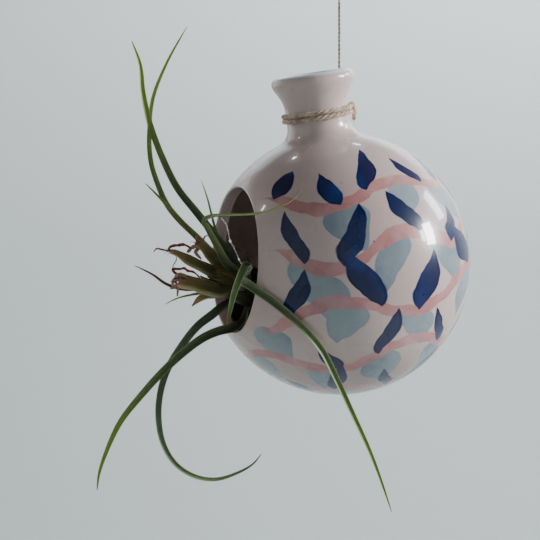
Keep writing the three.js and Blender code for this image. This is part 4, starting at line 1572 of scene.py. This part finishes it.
thread_radii = [thread_radius(step) for step in range(THREAD_STEPS)]
thread_fuzz = fuzz(thread_route, 0.15 * MM, count=30, reach=2 * MM)
thread_mesh = joined(
    "white_fibre",
    tubes("thread", [(thread_route, thread_radii)], 1),
    tubes("thread_hairs", thread_fuzz, HAIR_ROUNDNESS),
)
thread_paint.dress(Emission_Color=tone(246, 242, 238), Emission_Strength=0.4)
show(thread_mesh, "plant", "dry_leaf", thread_paint)

# %% [markdown]
# ## Stage and light
# The planter hangs in a plain pale studio, a wide bowl whose floor runs up into its wall
# without a corner. The light comes from a window on the right with two more panes. Two weak
# panels behind, one on the mouth's side and one above, light the back and the neck's lip.
# Three small lamps make the glints, and a wash on the wall lightens the background.

# %% Stage
STAGE_FLOOR = -0.8
STAGE_RADIUS = 2.2
STAGE_CURVE = 0.7
STAGE_TOP = 1.6
STAGE_STEPS = 72
STAGE_CURVE_STEPS = 16
STAGE_MERGE = 0.1 * MM
stage = bmesh.new()
stage_line = Outline(stage, 0, STAGE_FLOOR)
stage_line.line(STAGE_RADIUS - STAGE_CURVE, STAGE_FLOOR)
stage_line.arc(
    STAGE_RADIUS - STAGE_CURVE, STAGE_FLOOR + STAGE_CURVE, math.pi / 2, STAGE_CURVE_STEPS
)
stage_line.line(STAGE_RADIUS, STAGE_TOP)
spun(stage, UPRIGHT, STAGE_STEPS)
bmesh.ops.remove_doubles(stage, verts=stage.verts, dist=STAGE_MERGE)
stage_mesh = finished(stage, "studio_bowl")
stage_mesh.shade_smooth()
stage_paint = Paint("pale_studio")
stage_paint.dress(Base_Color=tone(190, 196, 196), Roughness=0.95, Specular_IOR_Level=0.1)
stage_mesh.materials.append(stage_paint.material)
studio = bpy.data.objects.new("studio_bowl", stage_mesh)
bpy.context.scene.collection.objects.link(studio)
print("studio:", len(stage_mesh.polygons), "faces")

# %% Lights
def lamp(name, place, back, width, height, power, colour=(1, 1, 1)):
    """A rectangular lamp at a place, with its back turned to a direction."""
    data = bpy.data.lights.new(name, "AREA")
    data.shape = "RECTANGLE"
    data.size = width
    data.size_y = height
    data.energy = power
    data.color = colour
    light = bpy.data.objects.new(name, data)
    light.location = place
    light.rotation_euler = back.to_track_quat("Z", "Y").to_euler()
    bpy.context.scene.collection.objects.link(light)
    print(name, "at", light.location)


GLOBE_LAMPS = {
    "window": ((0.945, -0.115, 0.306), 1.2, 0.21, 0.28, 21, (0.89, 0.98, 1.0)),
    "side_pane": ((0.92, -0.25, 0.3), 1.2, 0.07, 0.15, 2, (0.93, 0.97, 1.0)),
    "upper_pane": ((0.83, 0.261, 0.493), 1.2, 0.22, 0.32, 6, (0.74, 0.9, 1.0)),
    "mouth_fill": ((-0.8, 0.53, 0.28), 1.5, 1.0, 1.0, 4, (1.0, 0.96, 0.96)),
    "sky_panel": ((0.0, 0.8, 0.6), 1.3, 1.4, 0.5, 2.4, (0.82, 0.9, 1.0)),
    "left_glint": ((-0.805, -0.07, 0.59), 1.0, 0.035, 0.07, 0.3, (1.0, 0.95, 0.92)),
    "top_glint": ((-0.333, 0.385, 0.861), 1.0, 0.045, 0.03, 0.2, (1.0, 0.97, 0.95)),
    "back_glint": ((0.165, 0.53, 0.832), 1.0, 0.05, 0.03, 0.2, (0.8, 0.9, 1.0)),
}
for name, (direction, distance, *settings) in GLOBE_LAMPS.items():
    aim = Vector(direction).normalized()
    lamp(name, globe_centre + aim * distance, aim, *settings)
lamp("wall_wash", (0.75, 0.9, 1.1), Vector((0, -1.3, 0.3)), 1.8, 0.6, 64)

# %% Shade
SHADE_STRENGTH = 0.06
world = bpy.data.worlds.new("soft_room")
world.use_nodes = True
background = world.node_tree.nodes["Background"].inputs
background["Color"].default_value = tone(216, 214, 240)
background["Strength"].default_value = SHADE_STRENGTH
bpy.context.scene.world = world
print("shade:", world.name)
